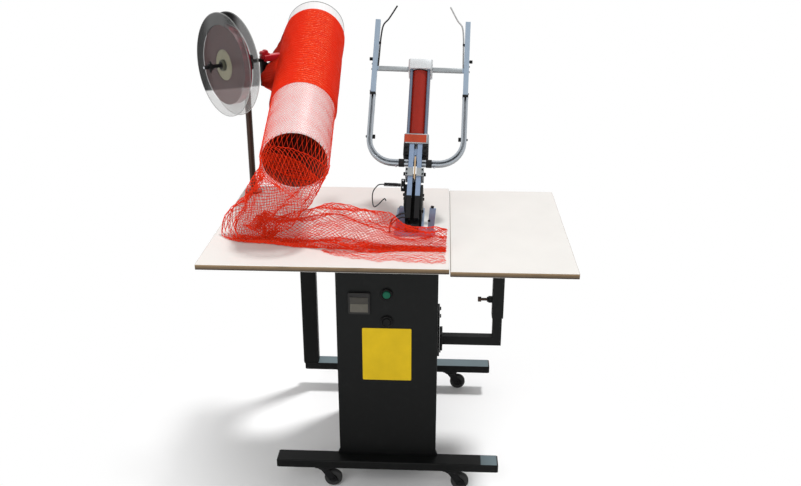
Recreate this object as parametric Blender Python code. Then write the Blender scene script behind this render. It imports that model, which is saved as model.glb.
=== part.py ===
"""Table-top pneumatic clipping machine for net bags, modelled as separate named pieces.

The machine stands on casters. A sheet-metal cabinet carries a work table in two boards. The clipping
head leans back over the left board: an air cylinder drives a ram with two punches down a pair of guide
bars onto an anvil, and curved tracks feed clips from both sides. A pole at the back holds a tape reel
and a wide plastic tube that stores the net.

Metres, +Z up, +X to the operator's right, +Y away from the operator.
"""
import math

import bmesh
import bpy
from mathutils import Matrix, Vector

# Clearance between touching pieces, overrun of cuts, and degrees of roundness
GAP = 0.0003
OVERRUN = 0.002
ROUND = 24
SMALL_ROUND = 12

# Stand
TABLE_HEIGHT = 0.750
BEAM_LENGTH = 0.612
BEAM_DEPTH = 0.050
BEAM_HEIGHT = 0.025
BEAM_WALL = 0.002
FRONT_BEAM_Y = 0.157
REAR_BEAM_Y = 0.703
CASTER_HEIGHT = 0.070
RAIL_CENTRE_X = 0.100
CROSS_RAIL_Y = 0.450

# Casters
WHEEL_DIAMETER = 0.050
WHEEL_WIDTH = 0.018
WHEEL_BORE = 0.0070
WHEEL_HUB_DIAMETER = 0.024
WHEEL_GROOVE = 0.0015
AXLE_DIAMETER = 0.0066
CASTER_TRAIL = 0.025
CASTER_PLATE = 0.046
CASTER_PLATE_THICKNESS = 0.0025
CASTER_INSET_X = 0.128
FORK_WIDTH = 0.0250
FORK_SHEET = 0.0022
FORK_LENGTH = 0.024
FORK_BELOW_AXLE = 0.006
SWIVEL_DIAMETER = 0.034
SWIVEL_HEIGHT = 0.007

# Cabinet
CABINET_WIDTH = 0.268
CABINET_DEPTH = 0.404
CABINET_FRONT_Y = 0.196
SHEET = 0.0020
CABINET_LIP = 0.014
COVER_MARGIN = 0.018
COVER_THICKNESS = 0.0015

# Table
BOARD_DEPTH = 0.600
BOARD_THICKNESS = 0.015
BOARD_ROUNDING = 0.0015
LEFT_BOARD_WIDTH = 0.600
RIGHT_BOARD_WIDTH = 0.300
BOARD_GAP = 0.003
BOARD_STEP = 0.006
LEFT_BOARD_X = -0.441

# Left post
POST_WIDTH = 0.050
POST_DEPTH = 0.030
POST_X = -0.287
POST_ARM_REACH = 0.460

# Right arm
ARM_TUBE = 0.025
ARM_WALL = 0.002
ARM_DROP = 0.322
ARM_X = 0.296
ARM_Y = 0.290
ARM_ENGAGEMENT = 0.225
OUTER_TUBE_LENGTH = 0.241
OUTER_TUBE_WALL = 0.0022
TUBE_SLIP = 0.0006
TABLE_FLANGE = 0.090
TABLE_FLANGE_THICKNESS = 0.005
BRACKET_HEIGHT = 0.132
BRACKET_WIDTH = 0.060
BRACKET_THICKNESS = 0.005
BRACKET_BELOW_ARM = 0.040
ARM_FOOT = 0.050
ARM_FOOT_THICKNESS = 0.008
BOSS_DIAMETER = 0.019
BOSS_LENGTH = 0.010
BOSS_ABOVE_END = 0.050
SCREW_DIAMETER = 0.0078
SCREW_FIT = 0.0002
SCREW_REACH = 0.020
SCREW_HEAD = 0.014
SCREW_HEAD_THICKNESS = 0.009

# Panel
TIMER_WIDTH = 0.057
TIMER_HEIGHT = 0.051
TIMER_PROUD = 0.008
TIMER_BODY = 0.045
TIMER_BODY_DEPTH = 0.060
TIMER_RIM = 0.005
TIMER_WINDOW_DEPTH = 0.002
TIMER_X = -0.0725
TIMER_Z = 0.560
BUTTON_X = 0.000
GREEN_Z = 0.591
BLACK_Z = 0.512
BEZEL_DIAMETER = 0.029
BEZEL_THICKNESS = 0.005
BEZEL_NECK = 0.022
BUTTON_DIAMETER = 0.0205
BUTTON_PROUD = 0.0035
BUTTON_TRAVEL = 0.0025
BUTTON_LENGTH = 0.018
BUTTON_FIT = 0.0005

# Pole, reel axle and cross arm
POLE_X = -0.409
POLE_Y = 0.541
POLE_DIAMETER = 0.018
POLE_FLANGE = 0.050
POLE_FLANGE_THICKNESS = 0.006
AXLE_RISE = 0.377
AXLE_HEIGHT = TABLE_HEIGHT + AXLE_RISE
AXLE_HEADING = math.radians(43.5)
REEL_AXLE_DIAMETER = 0.010
AXLE_FRONT = 0.128
AXLE_REAR = 0.090
CLAMP_SIZE = 0.034
CLAMP_HEIGHT = 0.040
AXLE_COLLAR_DIAMETER = 0.018
AXLE_COLLAR_WIDTH = 0.010
AXLE_COLLAR_FROM_END = 0.014
WING_LENGTH = 0.030
WING_DIAMETER = 0.005
SHAFT_FIT = 0.0004

# Tape reel
REEL_OFFSET = 0.057
FLANGE_DIAMETER = 0.280
FLANGE_THICKNESS = 0.003
REEL_WIDTH = 0.024
TAPE_DIAMETER = 0.214
HUB_DIAMETER = 0.084
HUB_BOSS_DIAMETER = 0.030
HUB_BOSS_PROUD = 0.004

# Net tube and net
TUBE_DIAMETER = 0.170
TUBE_WALL = 0.004
TUBE_LENGTH = 0.696
TUBE_TILT = math.radians(19)
TUBE_TURN = math.radians(2.5)
TUBE_MOUTH_X = -0.223
TUBE_MOUTH_Y = 0.180
TUBE_MOUTH_RISE = 0.203
TUBE_MOUTH_Z = TABLE_HEIGHT + TUBE_MOUTH_RISE
SLEEVE_START = 0.232
SLEEVE_END = 0.655
SLEEVE_THICKNESS = 0.007
SLEEVE_ENTRY = 0.012
LAYER_THICKNESS = 0.0008
LAYER_START = 0.004
SADDLE_ALONG = 0.470
SADDLE_LENGTH = 0.040
SADDLE_WIDTH = 0.032
SADDLE_INSET = 0.040
SADDLE_REACH = 0.078

# Net tail. Each row holds shares: across from the mouth to the head, back to the base's front edge, up from
# the table to the mouth, then half width and half height of the bunch as shares of the tube's diameter.
TAIL_RING = 12
TAIL_STEPS = 3
TAIL_SHARES = (
    (-0.105, 0.790, 0.566, 0.294, 0.070),
    (-0.331, 0.927, 0.394, 0.365, 0.130),
    (-0.484, 0.888, 0.158, 0.341, 0.153),
    (-0.373, 0.839, 0.079, 0.270, 0.118),
    (-0.059, 0.780, 0.059, 0.247, 0.082),
    (0.359, 0.771, 0.054, 0.259, 0.065),
    (0.742, 0.766, 0.054, 0.259, 0.065),
    (1.000, 0.800, 0.064, 0.212, 0.076),
    (1.300, 0.785, 0.040, 0.218, 0.041),
)

# Head frame
HEAD_X = 0.064
HEAD_Y = 0.262
HEAD_ABOVE_TABLE = 0.030
HEAD_TILT = math.radians(40)
HEAD_LEAN = math.radians(1.5)

# Guide bars, channel for the ram and the throat
BAR_INNER = 0.0046
BAR_OUTER = 0.0170
BAR_FRONT = 0.0300
BAR_BACK = 0.0110
POCKET_OUTER = 0.0106
POCKET_FRONT = 0.0245
POCKET_BACK = 0.0155
ROD_SPACE = 0.0115
WEB_THICKNESS = 0.0045
THROAT_LOW = -0.030
THROAT_HIGH = -0.013
THROAT_BACK = -0.0080
JAW_TOP = 0.049
JAW_OUTER = 0.0175
JAW_FRONT = 0.0330
COLLAR_LOW = 0.104
COLLAR_HIGH = 0.127
COLLAR_OUTER = 0.0240
COLLAR_FRONT = 0.0330
MOUNT_LOW = 0.163
MOUNT_STEP = 0.009
MOUNT_STEP_OUTER = 0.0260

# Cylinder
CAP_SIZE = 0.065
CAP_LENGTH = 0.028
CAP_LOW = 0.196
BARREL_DIAMETER = 0.054
BARREL_BORE = 0.050
BARREL_LENGTH = 0.195
CAP_SEAT = 0.0010
CAP_CHAMFER = 0.004
ROD_DIAMETER = 0.020
ROD_FIT = 0.0005
PISTON_THICKNESS = 0.016
PISTON_FIT = 0.0004
TIE_ROD_DIAMETER = 0.008
TIE_ROD_SPACING = 0.0465
TIE_ROD_THREAD = 0.014

# Ram, punches and knife
RAM_LOW = 0.152
RAM_HIGH = 0.184
RAM_HEEL = 0.014
RAM_FIT = 0.0004
KNIFE_HALF_WIDTH = 0.0020
RAM_SLOT = 0.0016
KNIFE_FRONT = 0.0290
KNIFE_BACK = 0.0244
KNIFE_LOW = 0.094
KNIFE_HIGH = 0.160
KNIFE_SLOPE = 0.006
FEED_WINDOW = 0.0100

# Side plates, base and brackets
PLATE_THICKNESS = 0.0060
PLATE_TOP = 0.089
PLATE_BACK = 0.034
PLATE_FOOT_BACK = 0.100
PLATE_FRONT = 0.0270
PLATE_FOOT_Y = 0.2495
BASE_THICKNESS = 0.010
BASE_LEFT = 0.045
BASE_RIGHT = 0.060
BASE_FRONT = 0.205
BASE_BACK = 0.400
BASE_CORNER = 0.008
BASE_TAB_DEPTH = 0.030
BASE_NECK = 0.029
PLATE_SEAT = 0.0012
STAY_WIDTH = 0.016
STAY_THICKNESS = 0.006
STAY_HEIGHT = 0.066
STAY_LEAN = math.radians(5)
STAY_X = 0.039
STAY_Y = 0.212
GUSSET_LEFT = 0.043
GUSSET_RIGHT = 0.019
GUSSET_HEIGHT = 0.055
GUSSET_TOP_WIDTH = 0.012
GUSSET_THICKNESS = 0.0055
GUSSET_Y = 0.2430
DIE_RADIUS = 0.0045
ANVIL_BACK = 0.0100

# Clip tracks and magazines
TRACK_CENTRE = 0.1245
TRACK_LEVEL = 0.144
TRACK_BEND = 0.066
TRACK_WIDTH = 0.0150
TRACK_DEPTH = 0.0140
TRACK_WALL = 0.0024
TRACK_SLOT = 0.0052
TRACK_Y = -0.020
BEND_STEPS = 10
MAGAZINE_LOW = 0.339
MAGAZINE_LENGTH = 0.231
MAGAZINE_SIZE = 0.0138
MAGAZINE_WALL = 0.0018
MAGAZINE_SLOT = 0.0046
BRACE_LEVEL = 0.4205
BRACE_HEIGHT = 0.0115
BRACE_DEPTH = 0.008
WIRE_DIAMETER = 0.0030
PUSHER_LEVEL = 0.449
PUSHER_LENGTH = 0.030
PUSHER_FIT = 0.0006
PUSHER_KNOB = 0.009
PUSHER_SHANK = 0.0034
PUSHER_TRAVEL = 0.090

# Trigger switch and hoses
SWITCH_LEVEL = 0.088
SWITCH_HEIGHT = 0.030
SWITCH_DEPTH = 0.016
SWITCH_WIDTH = 0.010
SWITCH_BACK = 0.004
BALL_DIAMETER = 0.010
COIL_DIAMETER = 0.0074
COIL_WIRE = 0.0010
COIL_TURNS = 20
COIL_PITCH = 0.0021
COIL_STEPS = 8
WHISKER_DIAMETER = 0.0018
HOSE_DIAMETER = 0.004
HOSE_HOLE_LEFT = 0.058
HOSE_HOLE_WIDTH = 0.012
HOSE_HOLE_Y = 0.2390
HOSE_START_Y = 0.2370
HOSE_START = 0.042

COLOURS = {
    "charcoal": ((0.014, 0.016, 0.016, 1), 0.45, 0.1),
    "black": ((0.012, 0.012, 0.012, 1), 0.5, 0.0),
    "laminate": ((0.82, 0.80, 0.76, 1), 0.45, 0.0),
    "steel": ((0.42, 0.50, 0.58, 1), 0.3, 0.9),
    "cap": ((0.70, 0.71, 0.72, 1), 0.35, 0.8),
    "red": ((0.42, 0.02, 0.01, 1), 0.35, 0.2),
    "orange": ((0.72, 0.06, 0.015, 1), 0.4, 0.0),
    "green": ((0.0, 0.11, 0.05, 1), 0.3, 0.0),
    "timer": ((0.05, 0.045, 0.04, 1), 0.4, 0.0),
    "chrome": ((0.6, 0.6, 0.6, 1), 0.15, 1.0),
    "rubber": ((0.02, 0.02, 0.02, 1), 0.8, 0.0),
    "clear": ((0.8, 0.82, 0.8, 0.3), 0.1, 0.0),
    "tape": ((0.25, 0.11, 0.11, 1), 0.5, 0.0),
    "cream": ((0.60, 0.55, 0.35, 1), 0.5, 0.0),
    "pvc": ((0.85, 0.84, 0.84, 1), 0.4, 0.0),
    "net": ((0.80, 0.045, 0.012, 1), 0.6, 0.0),
    "brass": ((0.50, 0.36, 0.22, 1), 0.35, 0.9),
}


def clear_scene():
    """Remove every object that the file opened with."""
    for item in list(bpy.data.objects):
        bpy.data.objects.remove(item, do_unlink=True)


def material(colour):
    """Return the Principled material of a named colour, made once."""
    found = bpy.data.materials.get(colour)
    if found:
        return found
    tint, roughness, metallic = COLOURS[colour]
    made = bpy.data.materials.new(colour)
    made.use_nodes = True
    shader = made.node_tree.nodes["Principled BSDF"]
    shader.inputs["Base Color"].default_value = tint
    shader.inputs["Roughness"].default_value = roughness
    shader.inputs["Metallic"].default_value = metallic
    shader.inputs["Alpha"].default_value = tint[3]
    made.diffuse_color = tint
    return made


def empty(name, place, turn=None, parent=None):
    """Add an empty that carries a sub-assembly or marks a joint's axis."""
    item = bpy.data.objects.new(name, None)
    bpy.context.collection.objects.link(item)
    item.empty_display_size = CAP_SIZE
    item.parent = parent
    item.matrix_basis = Matrix.Translation(place) @ (turn or Matrix.Identity(4))
    return item


def piece(name, shape, colour, parent, place=(0, 0, 0), turn=None, bevel=0.0):
    """Turn a bmesh into a named object with its material, shading and edge bevel."""
    bmesh.ops.recalc_face_normals(shape, faces=shape.faces)
    mesh = bpy.data.meshes.new(name)
    shape.to_mesh(mesh)
    shape.free()
    mesh.shade_smooth()
    mesh.set_sharp_from_angle(angle=math.radians(35))
    return place_mesh(name, mesh, colour, parent, place, turn, bevel)


def place_mesh(name, mesh, colour, parent, place=(0, 0, 0), turn=None, bevel=0.0):
    """Add an object for a finished mesh, which other objects may share."""
    item = bpy.data.objects.new(name, mesh)
    bpy.context.collection.objects.link(item)
    if not mesh.materials:
        mesh.materials.append(material(colour))
    item.parent = parent
    item.matrix_basis = Matrix.Translation(place) @ (turn or Matrix.Identity(4))
    if bevel:
        rounding = item.modifiers.new("edges", "BEVEL")
        rounding.width = bevel
        rounding.segments = 1
        rounding.limit_method = "ANGLE"
        rounding.angle_limit = math.radians(40)
    return item


def block(low, high, shape=None):
    """Add a box between two corners."""
    shape = shape or bmesh.new()
    low, high = Vector(low), Vector(high)
    size, middle = high - low, (high + low) / 2
    frame = Matrix.Translation(middle) @ Matrix.Diagonal((*size, 1))
    bmesh.ops.create_cube(shape, size=1, matrix=frame)
    return shape


def rod(radius, low, high, segments=ROUND, shape=None, turn=None):
    """Add a cylinder along Z from low to high, turned about the origin if asked."""
    shape = shape or bmesh.new()
    frame = (turn or Matrix.Identity(4)) @ Matrix.Translation((0, 0, (low + high) / 2))
    bmesh.ops.create_cone(shape, cap_ends=True, segments=segments, radius1=radius, radius2=radius,
                          depth=high - low, matrix=frame)
    return shape


def turned(outline, segments=ROUND):
    """Spin a closed outline of (radius, height) pairs into a turned solid about Z."""
    shape = bmesh.new()
    points = [shape.verts.new((radius, 0, height)) for radius, height in outline]
    edges = [shape.edges.new((points[i], points[(i + 1) % len(points)])) for i in range(len(points))]
    bmesh.ops.spin(shape, geom=points + edges, cent=(0, 0, 0), axis=(0, 0, 1), angle=math.tau,
                   steps=segments, use_merge=True)
    bmesh.ops.remove_doubles(shape, verts=shape.verts, dist=GAP / 100)
    bmesh.ops.dissolve_degenerate(shape, edges=shape.edges, dist=GAP / 100)
    return shape


def pipe(outer, inner, low, high, segments=ROUND):
    """Make a round tube about Z."""
    return turned([(inner, low), (outer, low), (outer, high), (inner, high)], segments)


def laid(a, b, level, axis):
    """Place a pair of an outline at a level of an axis. Along X the pair is (y, z), along Y (x, z)."""
    if axis == "X":
        return level, a, b
    if axis == "Y":
        return a, level, b
    return a, b, level


def extruded(outline, low, high, axis="Z", shape=None):
    """Extrude an outline of pairs along an axis."""
    shape = shape or bmesh.new()
    near = [shape.verts.new(laid(a, b, low, axis)) for a, b in outline]
    far = [shape.verts.new(laid(a, b, high, axis)) for a, b in outline]
    count = len(outline)
    shape.faces.new(near)
    shape.faces.new(far)
    for i in range(count):
        j = (i + 1) % count
        shape.faces.new((near[i], near[j], far[j], far[i]))
    return shape


def rectangular_tube(width, depth, wall, low, high, axis="Z"):
    """Make a hollow rectangular section along an axis, centred on it."""
    shape = bmesh.new()
    loops = []
    for level in (low, high):
        for inset in (0, wall):
            w, d = width / 2 - inset, depth / 2 - inset
            corners = [(-w, -d), (w, -d), (w, d), (-w, d)]
            loops.append([shape.verts.new(laid(a, b, level, axis)) for a, b in corners])
    for i in range(4):
        j = (i + 1) % 4
        for first, second in ((0, 1), (1, 3), (3, 2), (2, 0)):
            one, two = loops[first], loops[second]
            shape.faces.new((one[i], one[j], two[j], two[i]))
    return shape


def swept(section, frames):
    """Carry a closed section of (x, y) pairs along a list of frames and close both ends."""
    shape = bmesh.new()
    rings = [[shape.verts.new(frame @ Vector((a, b, 0))) for a, b in section] for frame in frames]
    count = len(section)
    for one, two in zip(rings, rings[1:]):
        for i in range(count):
            j = (i + 1) % count
            shape.faces.new((one[i], one[j], two[j], two[i]))
    shape.faces.new(rings[0])
    shape.faces.new(rings[-1])
    return shape


def arc(centre, radius, start, end, steps):
    """List points on an arc, angles in radians."""
    turn = (end - start) / steps
    return [(centre[0] + radius * math.cos(start + turn * i), centre[1] + radius * math.sin(start + turn * i))
            for i in range(steps + 1)]


def joined(name, tool_shape, body, mode="UNION"):
    """Add a Boolean of a helper shape to an object, and keep the helper as a hidden cutter."""
    bmesh.ops.recalc_face_normals(tool_shape, faces=tool_shape.faces)
    mesh = bpy.data.meshes.new(name)
    tool_shape.to_mesh(mesh)
    tool_shape.free()
    tool = bpy.data.objects.new(name, mesh)
    bpy.context.collection.objects.link(tool)
    tool.parent = body.parent
    tool.matrix_basis = body.matrix_basis
    tool.hide_render = True
    tool.display_type = "WIRE"
    change = body.modifiers.new(name, "BOOLEAN")
    change.operation = mode
    change.solver = "EXACT"
    change.object = tool
    return body


def wire(name, points, diameter, colour, parent, resolution=1):
    """Add a bent wire or hose as a bevelled curve with filled caps."""
    curve = bpy.data.curves.new(name, "CURVE")
    curve.dimensions = "3D"
    curve.bevel_depth = diameter / 2
    curve.bevel_resolution = resolution
    curve.use_fill_caps = True
    spline = curve.splines.new("POLY")
    spline.points.add(len(points) - 1)
    for target, point in zip(spline.points, points):
        target.co = (*point, 1)
    item = bpy.data.objects.new(name, curve)
    bpy.context.collection.objects.link(item)
    curve.materials.append(material(colour))
    item.parent = parent
    return item


def smooth_route(points, steps):
    """Read a smooth curve through route points, with a number of steps between each pair."""
    places = [Vector(point) for point in points]
    padded = [2 * places[0] - places[1], *places, 2 * places[-1] - places[-2]]
    route = []
    for i in range(1, len(padded) - 2):
        a, b, c, d = padded[i - 1:i + 3]
        for step in range(steps):
            t = step / steps
            route.append((2 * b + (c - a) * t + (2 * a - 5 * b + 4 * c - d) * t * t
                          + (3 * b - a - 3 * c + d) * t * t * t) / 2)
    route.append(places[-1])
    return route


def build_stand(root):
    """Build the foot beams, the rails between them and the left post."""
    beam_z = CASTER_HEIGHT + BEAM_HEIGHT / 2
    for name, y in (("front_foot_beam", FRONT_BEAM_Y), ("rear_foot_beam", REAR_BEAM_Y)):
        shape = block((-BEAM_LENGTH / 2, -BEAM_DEPTH / 2, -BEAM_HEIGHT / 2),
                      (BEAM_LENGTH / 2, BEAM_DEPTH / 2, BEAM_HEIGHT / 2))
        beam = piece(name, shape, "charcoal", root, (0, y + BEAM_DEPTH / 2, beam_z), bevel=BEAM_WALL)
        plates = bmesh.new()
        half, low = CASTER_PLATE / 2, -BEAM_HEIGHT / 2 - CASTER_PLATE_THICKNESS
        for x in (CASTER_INSET_X - BEAM_LENGTH / 2, BEAM_LENGTH / 2 - CASTER_INSET_X):
            block((x - half, -half, low), (x + half, half, low + 2 * CASTER_PLATE_THICKNESS), plates)
        joined(name + "_caster_plates", plates, beam)
    front, rear = FRONT_BEAM_Y + BEAM_DEPTH + GAP, REAR_BEAM_Y - GAP
    low, high, half = CASTER_HEIGHT, CASTER_HEIGHT + BEAM_HEIGHT, BEAM_DEPTH / 2
    x = RAIL_CENTRE_X
    low_y, high_y = CROSS_RAIL_Y - half, CROSS_RAIL_Y + half
    outline = [(-x - half, front), (half - x, front), (half - x, low_y), (x - half, low_y),
               (x - half, front), (x + half, front), (x + half, rear), (x - half, rear),
               (x - half, high_y), (half - x, high_y), (half - x, rear), (-x - half, rear)]
    piece("base_frame", extruded(outline, low, high), "charcoal", root, bevel=BEAM_WALL)

    top, foot = TABLE_HEIGHT - BOARD_THICKNESS - GAP, CASTER_HEIGHT + BEAM_HEIGHT + GAP
    front_face, back_face = REAR_BEAM_Y + GAP, REAR_BEAM_Y + POST_DEPTH
    outline = [(front_face, foot), (back_face, foot), (back_face, top), (back_face - POST_ARM_REACH, top),
               (back_face - POST_ARM_REACH, top - POST_DEPTH / 2),
               (front_face - POST_DEPTH, top - POST_DEPTH), (front_face, top - 2 * POST_DEPTH)]
    shape = extruded(outline, POST_X - POST_WIDTH / 2, POST_X + POST_WIDTH / 2, "X")
    piece("left_post", shape, "charcoal", root, bevel=BEAM_WALL)


def fork_mesh():
    """Make the bent caster fork with its swivel head and axle, as one welded solid about the swivel axis."""
    crown = CASTER_HEIGHT - CASTER_PLATE_THICKNESS - SWIVEL_HEIGHT
    axle_z, low = WHEEL_DIAMETER / 2, WHEEL_DIAMETER / 2 - FORK_BELOW_AXLE
    half, inner = FORK_WIDTH / 2, FORK_WIDTH / 2 - FORK_SHEET
    outline = [(-half, low), (-inner, low), (-inner, crown - FORK_SHEET), (inner, crown - FORK_SHEET),
               (inner, low), (half, low), (half, crown), (-half, crown)]
    shape = extruded(outline, -FORK_LENGTH / 2, FORK_LENGTH / 2, "X")
    for vert in shape.verts:
        vert.co.x += CASTER_TRAIL * (crown - vert.co.z) / (crown - axle_z)
    body = piece("fork_pattern", shape, "black", None)
    head = rod(SWIVEL_DIAMETER / 2, crown - FORK_SHEET / 2, CASTER_HEIGHT - CASTER_PLATE_THICKNESS - GAP)
    joined("swivel_head", head, body)
    pin = rod(AXLE_DIAMETER / 2, -half - FORK_SHEET, half + FORK_SHEET, SMALL_ROUND,
              turn=Matrix.Translation((CASTER_TRAIL, 0, axle_z)) @ Matrix.Rotation(math.pi / 2, 4, "X"))
    joined("axle_pin", pin, body)
    mesh = bpy.data.meshes.new_from_object(body.evaluated_get(bpy.context.evaluated_depsgraph_get()))
    for item in (body, bpy.data.objects["swivel_head"], bpy.data.objects["axle_pin"]):
        bpy.data.objects.remove(item, do_unlink=True)
    return mesh


def build_casters(root):
    """Build four swivel casters that share their meshes, each on its own joint empties."""
    fork = fork_mesh()
    half, radius, hub = WHEEL_WIDTH / 2, WHEEL_DIAMETER / 2, WHEEL_HUB_DIAMETER / 2
    tread = [(WHEEL_BORE / 2, -half), (hub, -half), (hub, WHEEL_GROOVE - half),
             (radius - 2 * WHEEL_GROOVE, WHEEL_GROOVE - half), (radius - WHEEL_GROOVE, -half),
             (radius, WHEEL_GROOVE - half), (radius, half - WHEEL_GROOVE), (radius - WHEEL_GROOVE, half),
             (radius - 2 * WHEEL_GROOVE, half - WHEEL_GROOVE), (hub, half - WHEEL_GROOVE), (hub, half),
             (WHEEL_BORE / 2, half)]
    wheel = None
    for row, y in (("front", FRONT_BEAM_Y), ("rear", REAR_BEAM_Y)):
        for side, sign in (("left", -1), ("right", 1)):
            place = (sign * (BEAM_LENGTH / 2 - CASTER_INSET_X), y + BEAM_DEPTH / 2, 0)
            swivel = empty(f"{row}_{side}_swivel", place, parent=root)
            place_mesh(f"{row}_{side}_fork", fork, "black", swivel)
            axle = empty(f"{row}_{side}_axle", (CASTER_TRAIL, 0, radius), parent=swivel)
            stand = Matrix.Rotation(math.pi / 2, 4, "X")
            if wheel is None:
                wheel = piece(f"{row}_{side}_wheel", turned(tread), "rubber", axle, turn=stand).data
            else:
                place_mesh(f"{row}_{side}_wheel", wheel, "rubber", axle, turn=stand)


def build_cabinet(root):
    """Build the folded cabinet shell, open at the back and closed by a screwed cover."""
    half = CABINET_WIDTH / 2
    low, high = CASTER_HEIGHT + BEAM_HEIGHT + GAP, TABLE_HEIGHT - BOARD_THICKNESS - GAP
    front, back = CABINET_FRONT_Y, CABINET_FRONT_Y + CABINET_DEPTH
    shell = piece("cabinet_shell", block((-half, front, low), (half, back, high)), "charcoal", root)
    room = block((SHEET - half, front + SHEET, low + SHEET), (half - SHEET, back - SHEET, high - SHEET))
    joined("cabinet_room", room, shell, "DIFFERENCE")
    door = block((COVER_MARGIN - half, back - CABINET_LIP, low + COVER_MARGIN),
                 (half - COVER_MARGIN, back + OVERRUN, high - COVER_MARGIN))
    joined("cabinet_door_hole", door, shell, "DIFFERENCE")
    holes = bmesh.new()
    across = Matrix.Rotation(-math.pi / 2, 4, "X")
    for z in (GREEN_Z, BLACK_Z):
        at = Matrix.Translation((BUTTON_X, front - OVERRUN, z)) @ across
        rod(BEZEL_NECK / 2 + GAP, 0, SHEET + 2 * OVERRUN, shape=holes, turn=at)
    reach = TIMER_BODY / 2 + GAP
    block((TIMER_X - reach, front - OVERRUN, TIMER_Z - reach), (TIMER_X + reach, front + SHEET + OVERRUN,
                                                               TIMER_Z + reach), holes)
    joined("panel_holes", holes, shell, "DIFFERENCE")
    lap = COVER_MARGIN - CABINET_LIP / 2
    cover = block((lap - half, back + GAP, low + lap), (half - lap, back + GAP + COVER_THICKNESS, high - lap))
    piece("rear_cover", cover, "charcoal", root)


def build_panel(root):
    """Build the timer and the two push buttons on the cabinet's front."""
    front = CABINET_FRONT_Y
    w, h, body = TIMER_WIDTH / 2, TIMER_HEIGHT / 2, TIMER_BODY / 2
    face = block((-w, -TIMER_PROUD, -h), (w, -GAP, h))
    timer = piece("timer", face, "timer", root, (TIMER_X, front, TIMER_Z), bevel=WHEEL_GROOVE)
    joined("timer_body", block((-body, -TIMER_PROUD / 2, -body), (body, TIMER_BODY_DEPTH, body)), timer)
    window = block((TIMER_RIM - w, -TIMER_PROUD - OVERRUN, TIMER_RIM - h), (w - TIMER_RIM, TIMER_WINDOW_DEPTH
                                                                          - TIMER_PROUD, h - TIMER_RIM))
    joined("timer_window", window, timer, "DIFFERENCE")
    outer, neck, bore = BEZEL_DIAMETER / 2, BEZEL_NECK / 2, BUTTON_DIAMETER / 2 + BUTTON_FIT / 2
    ring = [(bore, -BUTTON_LENGTH), (neck, -BUTTON_LENGTH), (neck, GAP), (outer, GAP),
            (outer - BEZEL_THICKNESS / 2, BEZEL_THICKNESS), (bore, BEZEL_THICKNESS)]
    toward = Matrix.Rotation(math.pi / 2, 4, "X")
    for name, z in (("green_bezel", GREEN_Z), ("black_bezel", BLACK_Z)):
        piece(name, turned(ring), "black", root, (BUTTON_X, front, z), toward)
    radius = BUTTON_DIAMETER / 2
    tip = BEZEL_THICKNESS + BUTTON_PROUD
    inner_end = BUTTON_TRAVEL - BUTTON_LENGTH
    cap = [(0, inner_end), (radius, inner_end), (radius, tip - WHEEL_GROOVE), (radius - WHEEL_GROOVE, tip),
           (0, tip)]
    for name, z, colour in (("green_button", GREEN_Z, "green"), ("black_button", BLACK_Z, "black")):
        at = empty(name + "_axis", (BUTTON_X, front, z), toward, root)
        piece(name, turned(cap), colour, at)


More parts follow.
